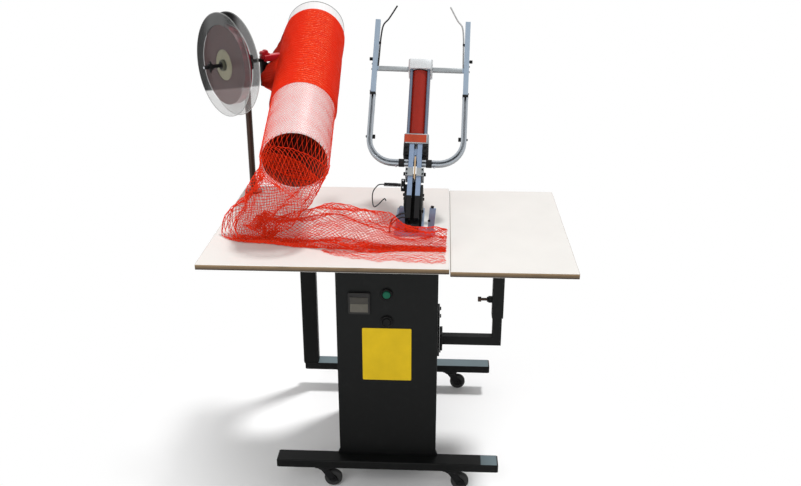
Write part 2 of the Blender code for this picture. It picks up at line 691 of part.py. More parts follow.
def build_table(root):
    """Build the two boards, and the arm that carries the right one at an adjustable height."""
    left = LEFT_BOARD_X
    right = left + LEFT_BOARD_WIDTH
    shape = block((left, 0, TABLE_HEIGHT - BOARD_THICKNESS), (right, BOARD_DEPTH, TABLE_HEIGHT))
    board = piece("left_board", shape, "laminate", root, bevel=BOARD_ROUNDING)
    hole = rod(HOSE_HOLE_WIDTH / 2, TABLE_HEIGHT - BOARD_THICKNESS - OVERRUN, TABLE_HEIGHT + OVERRUN, ROUND)
    hole.transform(Matrix.Translation((HEAD_X - HOSE_HOLE_LEFT, HOSE_HOLE_Y - HOSE_DIAMETER, 0)))
    joined("hose_hole", hole, board, "DIFFERENCE")

    arm_z = TABLE_HEIGHT - ARM_DROP - ARM_TUBE / 2
    lift = empty("right_table_lift", (ARM_X, ARM_Y, arm_z), parent=root)
    top = TABLE_HEIGHT - BOARD_STEP - arm_z
    shape = block((right + BOARD_GAP - ARM_X, -ARM_Y, top - BOARD_THICKNESS),
                  (right + BOARD_GAP + RIGHT_BOARD_WIDTH - ARM_X, BOARD_DEPTH - ARM_Y, top))
    piece("right_board", shape, "laminate", lift, bevel=BOARD_ROUNDING)

    under = top - BOARD_THICKNESS - GAP
    outer = ARM_TUBE + 2 * TUBE_SLIP + 2 * OUTER_TUBE_WALL
    low = under - OUTER_TUBE_LENGTH
    sleeve = piece("outer_tube", rectangular_tube(outer, outer, OUTER_TUBE_WALL, low, under
                                                  - TABLE_FLANGE_THICKNESS / 2), "charcoal", lift)
    flange = block((-TABLE_FLANGE / 2, -TABLE_FLANGE / 2, under - TABLE_FLANGE_THICKNESS),
                   (TABLE_FLANGE / 2, TABLE_FLANGE / 2, under))
    joined("table_flange", flange, sleeve)
    boss_z = low + BOSS_ABOVE_END
    sideways = Matrix.Translation((0, 0, boss_z)) @ Matrix.Rotation(-math.pi / 2, 4, "Y")
    boss = rod(BOSS_DIAMETER / 2, outer / 2 - OUTER_TUBE_WALL / 2, outer / 2 + BOSS_LENGTH, 6, turn=sideways)
    joined("nut_boss", boss, sleeve)
    drill = rod(SCREW_DIAMETER / 2 + SCREW_FIT, outer / 2 - OUTER_TUBE_WALL - OVERRUN, outer / 2 + BOSS_LENGTH
                + OVERRUN, SMALL_ROUND, turn=sideways)
    joined("screw_hole", drill, sleeve, "DIFFERENCE")

    start = ARM_TUBE / 2 + TUBE_SLIP / 2
    end = outer / 2 + BOSS_LENGTH + SCREW_REACH
    crown = end + SCREW_HEAD_THICKNESS
    screw = turned([(0, start), (SCREW_DIAMETER / 2, start), (SCREW_DIAMETER / 2, end), (SCREW_HEAD / 2, end),
                    (SCREW_HEAD / 2, crown), (0, crown)], SMALL_ROUND)
    turn = Matrix.Rotation(-math.pi / 2, 4, "Y")
    axis = empty("clamp_screw_axis", (0, 0, boss_z), turn, lift)
    piece("clamp_screw", screw, "steel", axis)

    half, cabinet = ARM_TUBE / 2, CABINET_WIDTH / 2
    foot_x = cabinet + GAP + BRACKET_THICKNESS + GAP
    outline = [(foot_x + ARM_FOOT_THICKNESS / 2, arm_z - half), (ARM_X + half, arm_z - half),
               (ARM_X + half, arm_z + half + ARM_ENGAGEMENT), (ARM_X - half, arm_z + half + ARM_ENGAGEMENT),
               (ARM_X - half, arm_z + half), (foot_x + ARM_FOOT_THICKNESS / 2, arm_z + half)]
    arm = piece("right_arm", extruded(outline, ARM_Y - half, ARM_Y + half, "Y"), "charcoal", root)
    foot = block((foot_x, ARM_Y - ARM_FOOT / 2, arm_z - ARM_FOOT / 2),
                 (foot_x + ARM_FOOT_THICKNESS, ARM_Y + ARM_FOOT / 2, arm_z + ARM_FOOT / 2))
    joined("arm_foot", foot, arm)
    low = arm_z - BRACKET_BELOW_ARM
    shape = block((cabinet + GAP, ARM_Y - BRACKET_WIDTH / 2, low),
                  (cabinet + GAP + BRACKET_THICKNESS, ARM_Y + BRACKET_WIDTH / 2, low + BRACKET_HEIGHT))
    piece("side_bracket", shape, "charcoal", root)


def build_reel(root):
    """Build the pole, the axle that carries on as a cross arm, and the tape reel on it."""
    bottom = TABLE_HEIGHT + GAP
    radius = POLE_DIAMETER / 2
    top = AXLE_HEIGHT - CLAMP_HEIGHT / 2 - GAP
    profile = [(0, bottom), (POLE_FLANGE / 2, bottom), (POLE_FLANGE / 2, bottom + POLE_FLANGE_THICKNESS),
               (radius + POLE_FLANGE_THICKNESS, bottom + POLE_FLANGE_THICKNESS),
               (radius, bottom + 2 * POLE_FLANGE_THICKNESS), (radius, top), (0, top)]
    piece("pole", turned(profile), "chrome", root, (POLE_X, POLE_Y, 0))

    turn = Matrix.Rotation(AXLE_HEADING - math.pi / 2, 4, "Z") @ Matrix.Rotation(-math.pi / 2, 4, "X")
    line = empty("reel_axis", (POLE_X, POLE_Y, AXLE_HEIGHT), turn, root)
    reach, half = REEL_AXLE_DIAMETER / 2, CLAMP_SIZE / 2
    shape = block((-half, -CLAMP_HEIGHT / 2, -half), (half, CLAMP_HEIGHT / 2, half))
    clamp = piece("arm_clamp", shape, "black", line, bevel=POLE_FLANGE_THICKNESS / 2)
    joined("clamp_bore", rod(reach + GAP, -CLAMP_SIZE, CLAMP_SIZE), clamp, "DIFFERENCE")
    shape = rod(reach, -AXLE_FRONT, AXLE_REAR)
    axle = piece("reel_axle", shape, "black", line)
    at = AXLE_COLLAR_FROM_END - AXLE_FRONT
    joined("axle_collar", rod(AXLE_COLLAR_DIAMETER / 2, at, at + AXLE_COLLAR_WIDTH), axle)
    across = Matrix.Translation((0, 0, at + AXLE_COLLAR_WIDTH / 2)) @ Matrix.Rotation(math.pi / 2, 4, "X")
    wing = rod(WING_DIAMETER / 2, -WING_LENGTH / 2, WING_LENGTH / 2, SMALL_ROUND, turn=across)
    joined("wing_bar", wing, axle)

    reel = empty("reel_spin", (0, 0, -REEL_OFFSET), parent=line)
    bore, middle = reach + SHAFT_FIT, REEL_WIDTH / 2
    inner = HUB_BOSS_DIAMETER / 2
    flange = pipe(FLANGE_DIAMETER / 2, inner + GAP, -middle - FLANGE_THICKNESS, -middle, 2 * ROUND)
    piece("reel_front_flange", flange, "clear", reel)
    tape = pipe(TAPE_DIAMETER / 2, HUB_DIAMETER / 2 + GAP, GAP - middle, middle - GAP, 2 * ROUND)
    piece("tape_roll", tape, "tape", reel)
    outer = middle + FLANGE_THICKNESS + HUB_BOSS_PROUD
    spool = [(bore, -outer), (inner, -outer), (inner, GAP - middle), (HUB_DIAMETER / 2, GAP - middle),
             (HUB_DIAMETER / 2, middle), (FLANGE_DIAMETER / 2, middle), (FLANGE_DIAMETER / 2, middle
              + FLANGE_THICKNESS), (inner, middle + FLANGE_THICKNESS), (inner, outer), (bore, outer)]
    piece("reel_spool", turned(spool, 2 * ROUND), "cream", reel)


def build_net(root):
    """Build the net tube on its saddle, the gathered sleeve of net and the tail that runs to the head."""
    turn = Matrix.Rotation(TUBE_TURN, 4, "Z") @ Matrix.Rotation(TUBE_TILT - math.pi / 2, 4, "X")
    line = empty("tube_axis", (TUBE_MOUTH_X, TUBE_MOUTH_Y, TUBE_MOUTH_Z), turn, root)
    radius = TUBE_DIAMETER / 2
    piece("net_tube", pipe(radius, radius - TUBE_WALL, 0, TUBE_LENGTH, 2 * ROUND), "pvc", line)
    inner, skin, full = radius + GAP, radius + GAP + LAYER_THICKNESS, radius + GAP + SLEEVE_THICKNESS
    sleeve = turned([(inner, LAYER_START), (skin, LAYER_START), (skin, SLEEVE_START),
                     (full, SLEEVE_START + SLEEVE_ENTRY), (full, SLEEVE_END - SLEEVE_ENTRY),
                     (inner + SLEEVE_ENTRY / 4, SLEEVE_END), (inner, SLEEVE_END)], 2 * ROUND)
    piece("net_sleeve", sleeve, "net", line)
    build_saddle(root, line)
    build_tail(root)


def build_saddle(root, tube_line):
    """Build the block that fixes the cross arm's end to the side of the net tube."""
    reel_line = bpy.data.objects["reel_axis"]
    bpy.context.view_layer.update()
    to_line = reel_line.matrix_world.inverted()
    mouth = to_line @ tube_line.matrix_world.translation
    along = (to_line.to_3x3() @ tube_line.matrix_world.to_3x3() @ Vector((0, 0, 1))).normalized()
    half = SADDLE_WIDTH / 2
    start = AXLE_REAR - SADDLE_INSET
    saddle = piece("tube_saddle", block((-half, -SADDLE_LENGTH / 2, start), (half, SADDLE_LENGTH / 2, start
                   + SADDLE_REACH)), "red", reel_line, bevel=POLE_FLANGE_THICKNESS / 2)
    bore = rod(REEL_AXLE_DIAMETER / 2 + GAP, start - OVERRUN, AXLE_REAR + GAP)
    joined("saddle_bore", bore, saddle, "DIFFERENCE")
    spin = Vector((0, 0, 1)).rotation_difference(along).to_matrix().to_4x4()
    clearance = TUBE_DIAMETER / 2 + SLEEVE_THICKNESS + 2 * GAP
    cut = rod(clearance, 0, TUBE_LENGTH, 2 * ROUND, turn=Matrix.Translation(mouth) @ spin)
    joined("saddle_seat", cut, saddle, "DIFFERENCE")


def build_tail(root):
    """Build the plain body of the net that hangs from the tube's mouth and lies across the board."""
    floor = TABLE_HEIGHT + GAP
    stations = []
    for across, back, up, wide, high in TAIL_SHARES:
        place = Vector((TUBE_MOUTH_X + across * (HEAD_X - TUBE_MOUTH_X), back * BASE_FRONT,
                        TABLE_HEIGHT + up * TUBE_MOUTH_RISE))
        stations.append((place, wide * TUBE_DIAMETER, high * TUBE_DIAMETER))
    route = smooth_route([place for place, _, _ in stations], TAIL_STEPS)
    last = len(stations) - 2
    shape = bmesh.new()
    rings = []
    for index, place in enumerate(route):
        lower = min(index // TAIL_STEPS, last)
        blend = index / TAIL_STEPS - lower
        half_width = stations[lower][1] * (1 - blend) + stations[lower + 1][1] * blend
        half_height = stations[lower][2] * (1 - blend) + stations[lower + 1][2] * blend
        ahead = route[min(index + 1, len(route) - 1)] - route[max(index - 1, 0)]
        side = ahead.cross(Vector((0, 0, 1))).normalized()
        up = side.cross(ahead).normalized()
        lift = max(0.0, floor - (place.z - half_height * abs(up.z)))
        ring = []
        for step in range(TAIL_RING):
            angle = math.tau * step / TAIL_RING
            point = place + side * (half_width * math.cos(angle)) + up * (half_height * math.sin(angle))
            point.z = max(point.z + lift, floor)
            ring.append(shape.verts.new(point))
        rings.append(ring)
    for one, two in zip(rings, rings[1:]):
        for i in range(TAIL_RING):
            j = (i + 1) % TAIL_RING
            shape.faces.new((one[i], one[j], two[j], two[i]))
    shape.faces.new(rings[0])
    shape.faces.new(rings[-1])
    piece("net_tail", shape, "net", root)


def head_frame():
    """Return the head's frame: x across, -y out of the front face, z up along the ram's axis."""
    place = Matrix.Translation((HEAD_X, HEAD_Y, TABLE_HEIGHT + HEAD_ABOVE_TABLE))
    return place @ Matrix.Rotation(-HEAD_TILT, 4, "X") @ Matrix.Rotation(HEAD_LEAN, 4, "Y")


def level_at(y, world_height):
    """Return the head's z where its plane at y meets a level of the world, at the middle of the head."""
    drop = world_height - (TABLE_HEIGHT + HEAD_ABOVE_TABLE)
    return (drop + y * math.sin(HEAD_TILT)) / (math.cos(HEAD_TILT) * math.cos(HEAD_LEAN))


def in_head(world_y, world_z):
    """Return the head's y and z of a place in the world, at the middle of the head."""
    place = head_frame().inverted() @ Vector((HEAD_X, world_y, world_z))
    return place.y, place.z


def channel_outline(outer, front, back):
    """Outline a block that holds the ram's channel, open at the front, with a pocket for each punch."""
    right = [(ROD_SPACE, ROD_SPACE), (ROD_SPACE, -BAR_BACK), (BAR_INNER, -BAR_BACK),
             (BAR_INNER, -POCKET_BACK), (POCKET_OUTER, -POCKET_BACK), (POCKET_OUTER, -POCKET_FRONT),
             (BAR_INNER, -POCKET_FRONT), (BAR_INNER, -front), (outer, -front), (outer, back)]
    return right + [(-x, y) for x, y in reversed(right)]


def build_head(root):
    """Build the clipping head on its base, from the anvil up to the cylinder."""
    head = empty("head", (0, 0, 0), head_frame(), root)
    build_head_base(root, head)
    build_guides(head)
    build_cylinder(head)
    build_ram(head)
    for name, side in (("left", -1), ("right", 1)):
        build_track(head, name, side)
        build_magazine(head, name, side)
        build_pusher(head, name, side)
    build_trigger(root, head)


def build_head_base(root, head):
    """Build the base plate with its gusset and stay, the side plates that carry the head, and the anvil."""
    bottom = TABLE_HEIGHT + GAP
    top = bottom + BASE_THICKNESS
    left, right, corner = HEAD_X - BASE_LEFT, HEAD_X + BASE_RIGHT, BASE_CORNER
    tab, neck = BASE_FRONT + BASE_TAB_DEPTH, HEAD_X + BASE_NECK
    outline = [(left + corner, BASE_FRONT), (right - corner, BASE_FRONT), (right, BASE_FRONT + corner),
               (right, tab), (neck, tab + corner), (neck, BASE_BACK - corner), (neck - corner, BASE_BACK),
               (left + corner, BASE_BACK), (left, BASE_BACK - corner), (left, BASE_FRONT + corner)]
    base = piece("head_base", extruded(outline, bottom, top), "steel", root)
    sunk = top - BASE_THICKNESS / 2
    stay = block((0, -STAY_THICKNESS, 0), (STAY_WIDTH, 0, STAY_HEIGHT + BASE_THICKNESS / 2))
    stay.transform(Matrix.Translation((HEAD_X + STAY_X, STAY_Y, sunk)) @ Matrix.Rotation(STAY_LEAN, 4, "Y"))
    joined("head_stay", stay, base)
    low, high = HEAD_X - GUSSET_LEFT, HEAD_X - GUSSET_RIGHT
    crest = top + GUSSET_HEIGHT
    outline = [(low, sunk), (high, sunk), (high, top + GUSSET_HEIGHT / 2),
               (high - GUSSET_TOP_WIDTH / 4, crest), (high - GUSSET_TOP_WIDTH, crest),
               (low, top + BASE_THICKNESS)]
    gusset = extruded(outline, GUSSET_Y, GUSSET_Y + GUSSET_THICKNESS, "Y")
    joined("head_gusset", gusset, base)

    seat = top + PLATE_SEAT
    low_y, low_z = in_head(PLATE_FOOT_Y, seat)
    rise = (PLATE_FRONT + low_y) / math.sin(HEAD_TILT)
    turn_y, turn_z = in_head(PLATE_FOOT_Y, seat + rise)
    foot = PLATE_FOOT_BACK
    outline = [(low_y, low_z), (foot, level_at(foot, seat)), (foot, level_at(foot, seat) + PLATE_THICKNESS),
               (PLATE_BACK, PLATE_TOP), (-PLATE_FRONT / 3, PLATE_TOP), (-PLATE_FRONT, JAW_TOP),
               (turn_y, turn_z)]
    for name, side in (("left", -1), ("right", 1)):
        near, far = sorted((side * (JAW_OUTER + GAP), side * (JAW_OUTER + GAP + PLATE_THICKNESS)))
        piece(f"{name}_side_plate", extruded(outline, near, far, "X"), "charcoal", head)

    front, back = -JAW_FRONT, -ANVIL_BACK
    middle = -(POCKET_FRONT + POCKET_BACK) / 2
    groove = arc((middle, THROAT_LOW), DIE_RADIUS, 0, -math.pi, 6)
    outline = [(front, level_at(front, seat)), (back, level_at(back, seat)), (back, THROAT_LOW), *groove,
               (front, THROAT_LOW)]
    piece("anvil", extruded(outline, -JAW_OUTER, JAW_OUTER, "X"), "black", head)


def build_guides(head):
    """Build the jaw block with its web behind the bars, the bars, the feed collar and the mount block."""
    back = ROD_SPACE + WEB_THICKNESS
    seat = TABLE_HEIGHT + GAP + BASE_THICKNESS + PLATE_SEAT
    low = level_at(-JAW_FRONT, seat)
    shape = extruded(channel_outline(JAW_OUTER, JAW_FRONT, back), low, JAW_TOP)
    jaw = piece("jaw_block", shape, "black", head)
    web = block((GAP - JAW_OUTER, ROD_SPACE + GAP, JAW_TOP - WEB_THICKNESS),
                (JAW_OUTER - GAP, back - GAP, COLLAR_LOW - GAP))
    joined("guide_web", web, jaw)
    wide, deep = 2 * JAW_OUTER, 2 * JAW_FRONT
    joined("throat_cut", block((-wide, -deep, 2 * low), (wide, THROAT_BACK, THROAT_HIGH)), jaw, "DIFFERENCE")
    outline = [(-deep, 2 * low), (-deep, level_at(-deep, seat)), (deep, level_at(deep, seat)),
               (deep, 2 * low)]
    joined("foot_cut", extruded(outline, -wide, wide, "X"), jaw, "DIFFERENCE")
    low, high = JAW_TOP + GAP, CAP_LOW - GAP
    for name, side in (("left", -1), ("right", 1)):
        section = [(BAR_INNER, -BAR_FRONT), (BAR_OUTER, -BAR_FRONT), (BAR_OUTER, -BAR_BACK - GAP),
                   (BAR_INNER, -BAR_BACK - GAP), (BAR_INNER, -POCKET_BACK), (POCKET_OUTER, -POCKET_BACK),
                   (POCKET_OUTER, -POCKET_FRONT), (BAR_INNER, -POCKET_FRONT)]
        outline = [(side * x, y) for x, y in section]
        bar = piece(f"{name}_guide_bar", extruded(outline, low, high), "steel", head)
        near, far = sorted((side * (BAR_INNER + GAP), side * (BAR_OUTER + GAP)))
        window = block((near, -POCKET_FRONT + GAP, TRACK_LEVEL - FEED_WINDOW / 2),
                       (far, -POCKET_BACK - GAP, TRACK_LEVEL + FEED_WINDOW / 2))
        joined(f"{name}_feed_window", window, bar, "DIFFERENCE")
    lip, cheek = BAR_FRONT + GAP, BAR_OUTER + GAP
    outline = [(-COLLAR_OUTER, -COLLAR_FRONT), (-BAR_INNER, -COLLAR_FRONT), (-BAR_INNER, -lip),
               (-cheek, -lip), (-cheek, ROD_SPACE), (cheek, ROD_SPACE), (cheek, -lip), (BAR_INNER, -lip),
               (BAR_INNER, -COLLAR_FRONT), (COLLAR_OUTER, -COLLAR_FRONT), (COLLAR_OUTER, back),
               (-COLLAR_OUTER, back)]
    piece("feed_collar", extruded(outline, COLLAR_LOW, COLLAR_HIGH), "cap", head)
    half = CAP_SIZE / 2
    outline = [(-half, -half), (-cheek, -half), (-cheek, ROD_SPACE), (cheek, ROD_SPACE), (cheek, -half),
               (half, -half), (half, half), (-half, half)]
    mount = piece("mount_block", extruded(outline, MOUNT_LOW, CAP_LOW - GAP), "black", head)
    inner, near = MOUNT_STEP_OUTER, half - MOUNT_STEP
    outline = [(-inner, -near), (-cheek, -near), (-cheek, ROD_SPACE), (cheek, ROD_SPACE), (cheek, -near),
               (inner, -near), (inner, near), (-inner, near)]
    joined("mount_step", extruded(outline, MOUNT_LOW - MOUNT_STEP, MOUNT_LOW + MOUNT_STEP), mount)


def capped_square(half, chamfer):
    """Outline a square with cut corners."""
    near = half - chamfer
    return [(-half, -near), (-near, -half), (near, -half), (half, -near), (half, near), (near, half),
            (-near, half), (-half, near)]


def build_cylinder(head):
    """Build the air cylinder: two square caps, the barrel, and four tie rods that end inside the caps."""
    top_low = CAP_LOW + CAP_LENGTH + BARREL_LENGTH
    outline = capped_square(CAP_SIZE / 2, CAP_CHAMFER)
    bottom = piece("bottom_cap", extruded(outline, CAP_LOW, CAP_LOW + CAP_LENGTH), "cap", head)
    top = piece("top_cap", extruded(outline, top_low, top_low + CAP_LENGTH), "cap", head)
    rods, holes = bmesh.new(), bmesh.new()
    radius = TIE_ROD_DIAMETER / 2
    foot, crest = CAP_LOW + CAP_LENGTH - TIE_ROD_THREAD, top_low + TIE_ROD_THREAD
    for x in (-TIE_ROD_SPACING / 2, TIE_ROD_SPACING / 2):
        for y in (-TIE_ROD_SPACING / 2, TIE_ROD_SPACING / 2):
            at = Matrix.Translation((x, y, 0))
            rod(radius + GAP, top_low - OVERRUN, crest + GAP, SMALL_ROUND, holes, at)
            rod(radius, foot, crest, SMALL_ROUND, rods, at)
    joined("tie_rods", rods, bottom)
    joined("tie_rod_holes", holes, top, "DIFFERENCE")
    bore = rod(ROD_DIAMETER / 2 + ROD_FIT, CAP_LOW - OVERRUN, CAP_LOW + CAP_LENGTH + OVERRUN)
    joined("rod_bore", bore, bottom, "DIFFERENCE")
    barrel = pipe(BARREL_DIAMETER / 2, BARREL_BORE / 2, CAP_LOW + CAP_LENGTH + GAP, top_low - GAP, 2 * ROUND)
    piece("barrel", barrel, "red", head)


def build_ram(head):
    """Build the moving set: piston with rod, the ram with two punches, and the knife between them."""
    slide = empty("ram_slide", (0, 0, RAM_LOW), parent=head)
    top = CAP_LOW + CAP_LENGTH + BARREL_LENGTH - CAP_SEAT - RAM_LOW
    low = top - PISTON_THICKNESS
    joint = RAM_HIGH - RAM_LOW + GAP
    radius = BARREL_BORE / 2 - PISTON_FIT
    profile = [(0, joint), (ROD_DIAMETER / 2, joint), (ROD_DIAMETER / 2, low), (radius, low), (radius, top),
               (0, top)]
    piece("piston_rod", turned(profile), "chrome", slide)
    back, front = ROD_SPACE - RAM_FIT, POCKET_BACK + RAM_FIT
    reach, blade, nose = BAR_INNER - RAM_FIT, POCKET_OUTER - RAM_FIT, POCKET_FRONT - RAM_FIT
    height, web = RAM_HIGH - RAM_LOW, BAR_BACK - RAM_FIT
    outline = [(-back, -web), (back, -web), (back, back), (-back, back)]
    ram = piece("ram", extruded(outline, RAM_HEEL, height), "steel", slide)
    outline = [(-reach, -web + RAM_FIT), (-reach, -front), (-blade, -front), (-blade, -nose), (blade, -nose),
               (blade, -front), (reach, -front), (reach, -web + RAM_FIT)]
    joined("ram_bridge", extruded(outline, RAM_HEEL, height - GAP), ram)
    for name, near, far in (("left_punch", -blade, -RAM_SLOT), ("right_punch", RAM_SLOT, blade)):
        punch = block((near + GAP, GAP - nose, 0), (far - GAP, -front - GAP, RAM_HEEL + GAP))
        joined(name, punch, ram)

    knife_slide = empty("knife_slide", (0, 0, KNIFE_LOW), parent=head)
    width, length = KNIFE_HALF_WIDTH, KNIFE_HIGH - KNIFE_LOW
    outline = [(-width, KNIFE_SLOPE), (width, 0), (width, length), (-width, length)]
    piece("knife", extruded(outline, -KNIFE_FRONT, -KNIFE_BACK, "Y"), "brass", knife_slide)


def channel_section(width, depth, wall, slot):
    """Outline a square channel with a slot along its front face."""
    w, d, s = width / 2, depth / 2, slot / 2
    return [(-s, -d), (-w, -d), (-w, d), (w, d), (w, -d), (s, -d), (s, wall - d), (w - wall, wall - d),
            (w - wall, d - wall), (wall - w, d - wall), (wall - w, wall - d), (-s, wall - d)]


def build_track(head, name, side):
    """Build one side's curved clip track, from the feed collar out and round up to the magazine."""
    section = channel_section(TRACK_WIDTH, TRACK_DEPTH, TRACK_WALL, TRACK_SLOT)
    start = BAR_OUTER + GAP
    turn_at = TRACK_CENTRE - TRACK_BEND
    frames = []
    for x in (start, turn_at):
        frames.append(Matrix.Translation((x, TRACK_Y, TRACK_LEVEL)) @ Matrix.Rotation(math.pi / 2, 4, "Y"))
    for step in range(1, BEND_STEPS + 1):
        angle = math.pi / 2 * step / BEND_STEPS
        x = turn_at + TRACK_BEND * math.sin(angle)
        z = TRACK_LEVEL + TRACK_BEND * (1 - math.cos(angle))
        frames.append(Matrix.Translation((x, TRACK_Y, z)) @ Matrix.Rotation(math.pi / 2 - angle, 4, "Y"))
    frames.append(Matrix.Translation((TRACK_CENTRE, TRACK_Y, MAGAZINE_LOW - GAP)))
    mirror = Matrix.Diagonal((side, 1, 1, 1))
    shape = swept(section, [mirror @ frame for frame in frames])
    piece(f"{name}_track", shape, "steel", head)


def build_pusher(head, name, side):
    """Build the pusher that slides down inside one magazine, with its knob outside the slot."""
    slide = empty(f"{name}_pusher_slide", (side * TRACK_CENTRE, TRACK_Y, PUSHER_LEVEL), parent=head)
    inner = MAGAZINE_SIZE / 2 - MAGAZINE_WALL - PUSHER_FIT
    half = PUSHER_LENGTH / 2
    shape = block((-inner, -inner, -half), (inner, inner, half))
    pusher = piece(f"{name}_pusher", shape, "black", slide)
    outward = Matrix.Rotation(side * math.pi / 2, 4, "Y")
    reach = MAGAZINE_SIZE / 2 + PUSHER_KNOB
    shank = rod(PUSHER_SHANK / 2, inner / 2, reach - GAP, SMALL_ROUND, turn=outward)
    joined(f"{name}_pusher_shank", shank, pusher)
    knob = rod(PUSHER_KNOB / 2, MAGAZINE_SIZE / 2 + PUSHER_FIT, reach, SMALL_ROUND, turn=outward)
    joined(f"{name}_pusher_knob", knob, pusher)


def build_magazine(head, name, side):
    """Build one straight magazine with its brace to the cylinder and the wire that guides the clips."""
    size = MAGAZINE_SIZE
    section = channel_section(size, size, MAGAZINE_WALL, MAGAZINE_SLOT)
    top = MAGAZINE_LOW + MAGAZINE_LENGTH
    shape = extruded([(-b, a) for a, b in section], MAGAZINE_LOW, top)
    shape.transform(Matrix.Translation((side * TRACK_CENTRE, TRACK_Y, 0)) @ Matrix.Diagonal((side, 1, 1, 1)))
    magazine = piece(f"{name}_magazine", shape, "steel", head)
    inside = TRACK_CENTRE - size / 2
    low, high = sorted((side * (CAP_SIZE / 2 + GAP), side * (inside + MAGAZINE_WALL / 2)))
    brace = block((low, TRACK_Y - BRACE_DEPTH / 2, BRACE_LEVEL - BRACE_HEIGHT / 2),
                  (high, TRACK_Y + BRACE_DEPTH / 2, BRACE_LEVEL + BRACE_HEIGHT / 2))
    joined(f"{name}_brace", brace, magazine)
    edge, foot, lean = inside - WIRE_DIAMETER / 2 - GAP, BRACE_LEVEL, size / 2
    route = [(edge, foot), (edge - lean / 6, (foot * 2 + top) / 3), (edge - lean / 3, (foot + top * 2) / 3),
             (edge - lean, top - 2 * lean), (edge - 3 * lean, top + lean), (edge - 6 * lean, top + 7 * lean)]
    run = smooth_route([(side * x, TRACK_Y, z) for x, z in route], 4)
    weld(magazine, [wire(f"{name}_clip_wire", run, WIRE_DIAMETER, "steel", head)])


def build_trigger(root, head):
    """Build the trigger switch with its sprung whisker, and the hoses that drop through the board."""
    outer = JAW_OUTER + GAP + PLATE_THICKNESS + GAP
    low, high = SWITCH_LEVEL - SWITCH_HEIGHT / 2, SWITCH_LEVEL + SWITCH_HEIGHT / 2
    body = block((-outer - SWITCH_WIDTH, SWITCH_BACK - SWITCH_DEPTH, low), (-outer, SWITCH_BACK, high))
    piece("trigger_switch", body, "black", head, bevel=BOARD_ROUNDING / 2)

    pivot_x = -outer - SWITCH_WIDTH - BALL_DIAMETER / 2 - GAP
    pivot = empty("trigger_pivot", (pivot_x, SWITCH_BACK - SWITCH_DEPTH / 2, SWITCH_LEVEL), parent=head)
    ball = bmesh.new()
    bmesh.ops.create_uvsphere(ball, u_segments=SMALL_ROUND, v_segments=SMALL_ROUND // 2 + 2,
                              radius=BALL_DIAMETER / 2)
    whisker = piece("trigger_whisker", ball, "steel", pivot)
    turns = COIL_TURNS * COIL_PITCH
    mean = COIL_DIAMETER / 2 - COIL_WIRE / 2
    start = BALL_DIAMETER / 2 - COIL_WIRE
    points = []
    for i in range(COIL_TURNS * COIL_STEPS + 1):
        angle = math.tau * i / COIL_STEPS
        along = -start - COIL_PITCH * i / COIL_STEPS
        points.append(Vector((along, mean * math.cos(angle), mean * math.sin(angle))))
    nearest = min((b - a).length for a, b in zip(points, points[COIL_STEPS:]))
    print("least gap between the turns of the whisker's coil, mm:", round((nearest - COIL_WIRE) * 1000, 2))
    coil = wire("whisker_coil", points, COIL_WIRE, "steel", pivot)
    end = -start - turns
    core = [(-start, 0), (end - 2 * COIL_PITCH, 0), (end - 7 * COIL_PITCH, -2 * COIL_PITCH),
            (end - 11 * COIL_PITCH, -9 * COIL_PITCH), (end - 11 * COIL_PITCH, -18 * COIL_PITCH),
            (end - 9 * COIL_PITCH, -25 * COIL_PITCH), (end - 5 * COIL_PITCH, -23 * COIL_PITCH),
            (end + COIL_PITCH, -16 * COIL_PITCH), (end + 3 * COIL_PITCH, -18 * COIL_PITCH)]
    run = smooth_route([(x, 0, z) for x, z in core], 4)
    stem = wire("whisker_stem", run, WHISKER_DIAMETER, "steel", pivot)
    weld(whisker, (coil, stem))

    low = TABLE_HEIGHT - BOARD_THICKNESS
    for index in (0, 1):
        rise = index * HOSE_DIAMETER * 2
        apart = (index - 1) * HOSE_DIAMETER * 1.5
        x, y = HEAD_X - HOSE_HOLE_LEFT, HOSE_HOLE_Y + apart
        start = Vector((HEAD_X - JAW_OUTER - 2 * GAP, HOSE_START_Y + apart, TABLE_HEIGHT + HOSE_START + rise))
        route = [start, start + Vector((-HOSE_DIAMETER * 2, 0, 0)),
                 start + Vector((-HOSE_DIAMETER * 5, 0, -HOSE_DIAMETER * 1.5)),
                 Vector((x + HOSE_DIAMETER, y, TABLE_HEIGHT + HOSE_DIAMETER * 5 + rise)),
                 Vector((x, y, TABLE_HEIGHT)), Vector((x, y, low))]
        wire(f"air_hose_{index + 1}", smooth_route(route, 6), HOSE_DIAMETER, "black", root, 2)


def weld(body, curves):
    """Join curve pieces to an object with Booleans and keep the curves as hidden helpers."""
    depsgraph = bpy.context.evaluated_depsgraph_get()
    for curve in curves:
        mesh = bpy.data.meshes.new_from_object(curve.evaluated_get(depsgraph))
        tool = bpy.data.objects.new(curve.name + "_tool", mesh)
        bpy.context.collection.objects.link(tool)
        tool.parent = curve.parent
        tool.hide_render = True
        tool.display_type = "WIRE"
        change = body.modifiers.new(curve.name, "BOOLEAN")
        change.operation = "UNION"
        change.solver = "EXACT"
        change.object = tool
        bpy.data.objects.remove(curve, do_unlink=True)


def centre_on_floor(root):
    """Shift the machine so that the origin lies at the centre of its box, on the floor."""
    bpy.context.view_layer.update()
    depsgraph = bpy.context.evaluated_depsgraph_get()
    corners = []
    for item in bpy.data.objects:
        if item.type == "EMPTY" or item.hide_render:
            continue
        solid = item.evaluated_get(depsgraph)
        mesh = solid.to_mesh()
        corners += [solid.matrix_world @ vert.co for vert in mesh.vertices]
        solid.to_mesh_clear()
    low = [min(corner[axis] for corner in corners) for axis in range(3)]
    high = [max(corner[axis] for corner in corners) for axis in range(3)]
    root.location -= Vector(((low[0] + high[0]) / 2, (low[1] + high[1]) / 2, low[2]))
    bpy.context.view_layer.update()


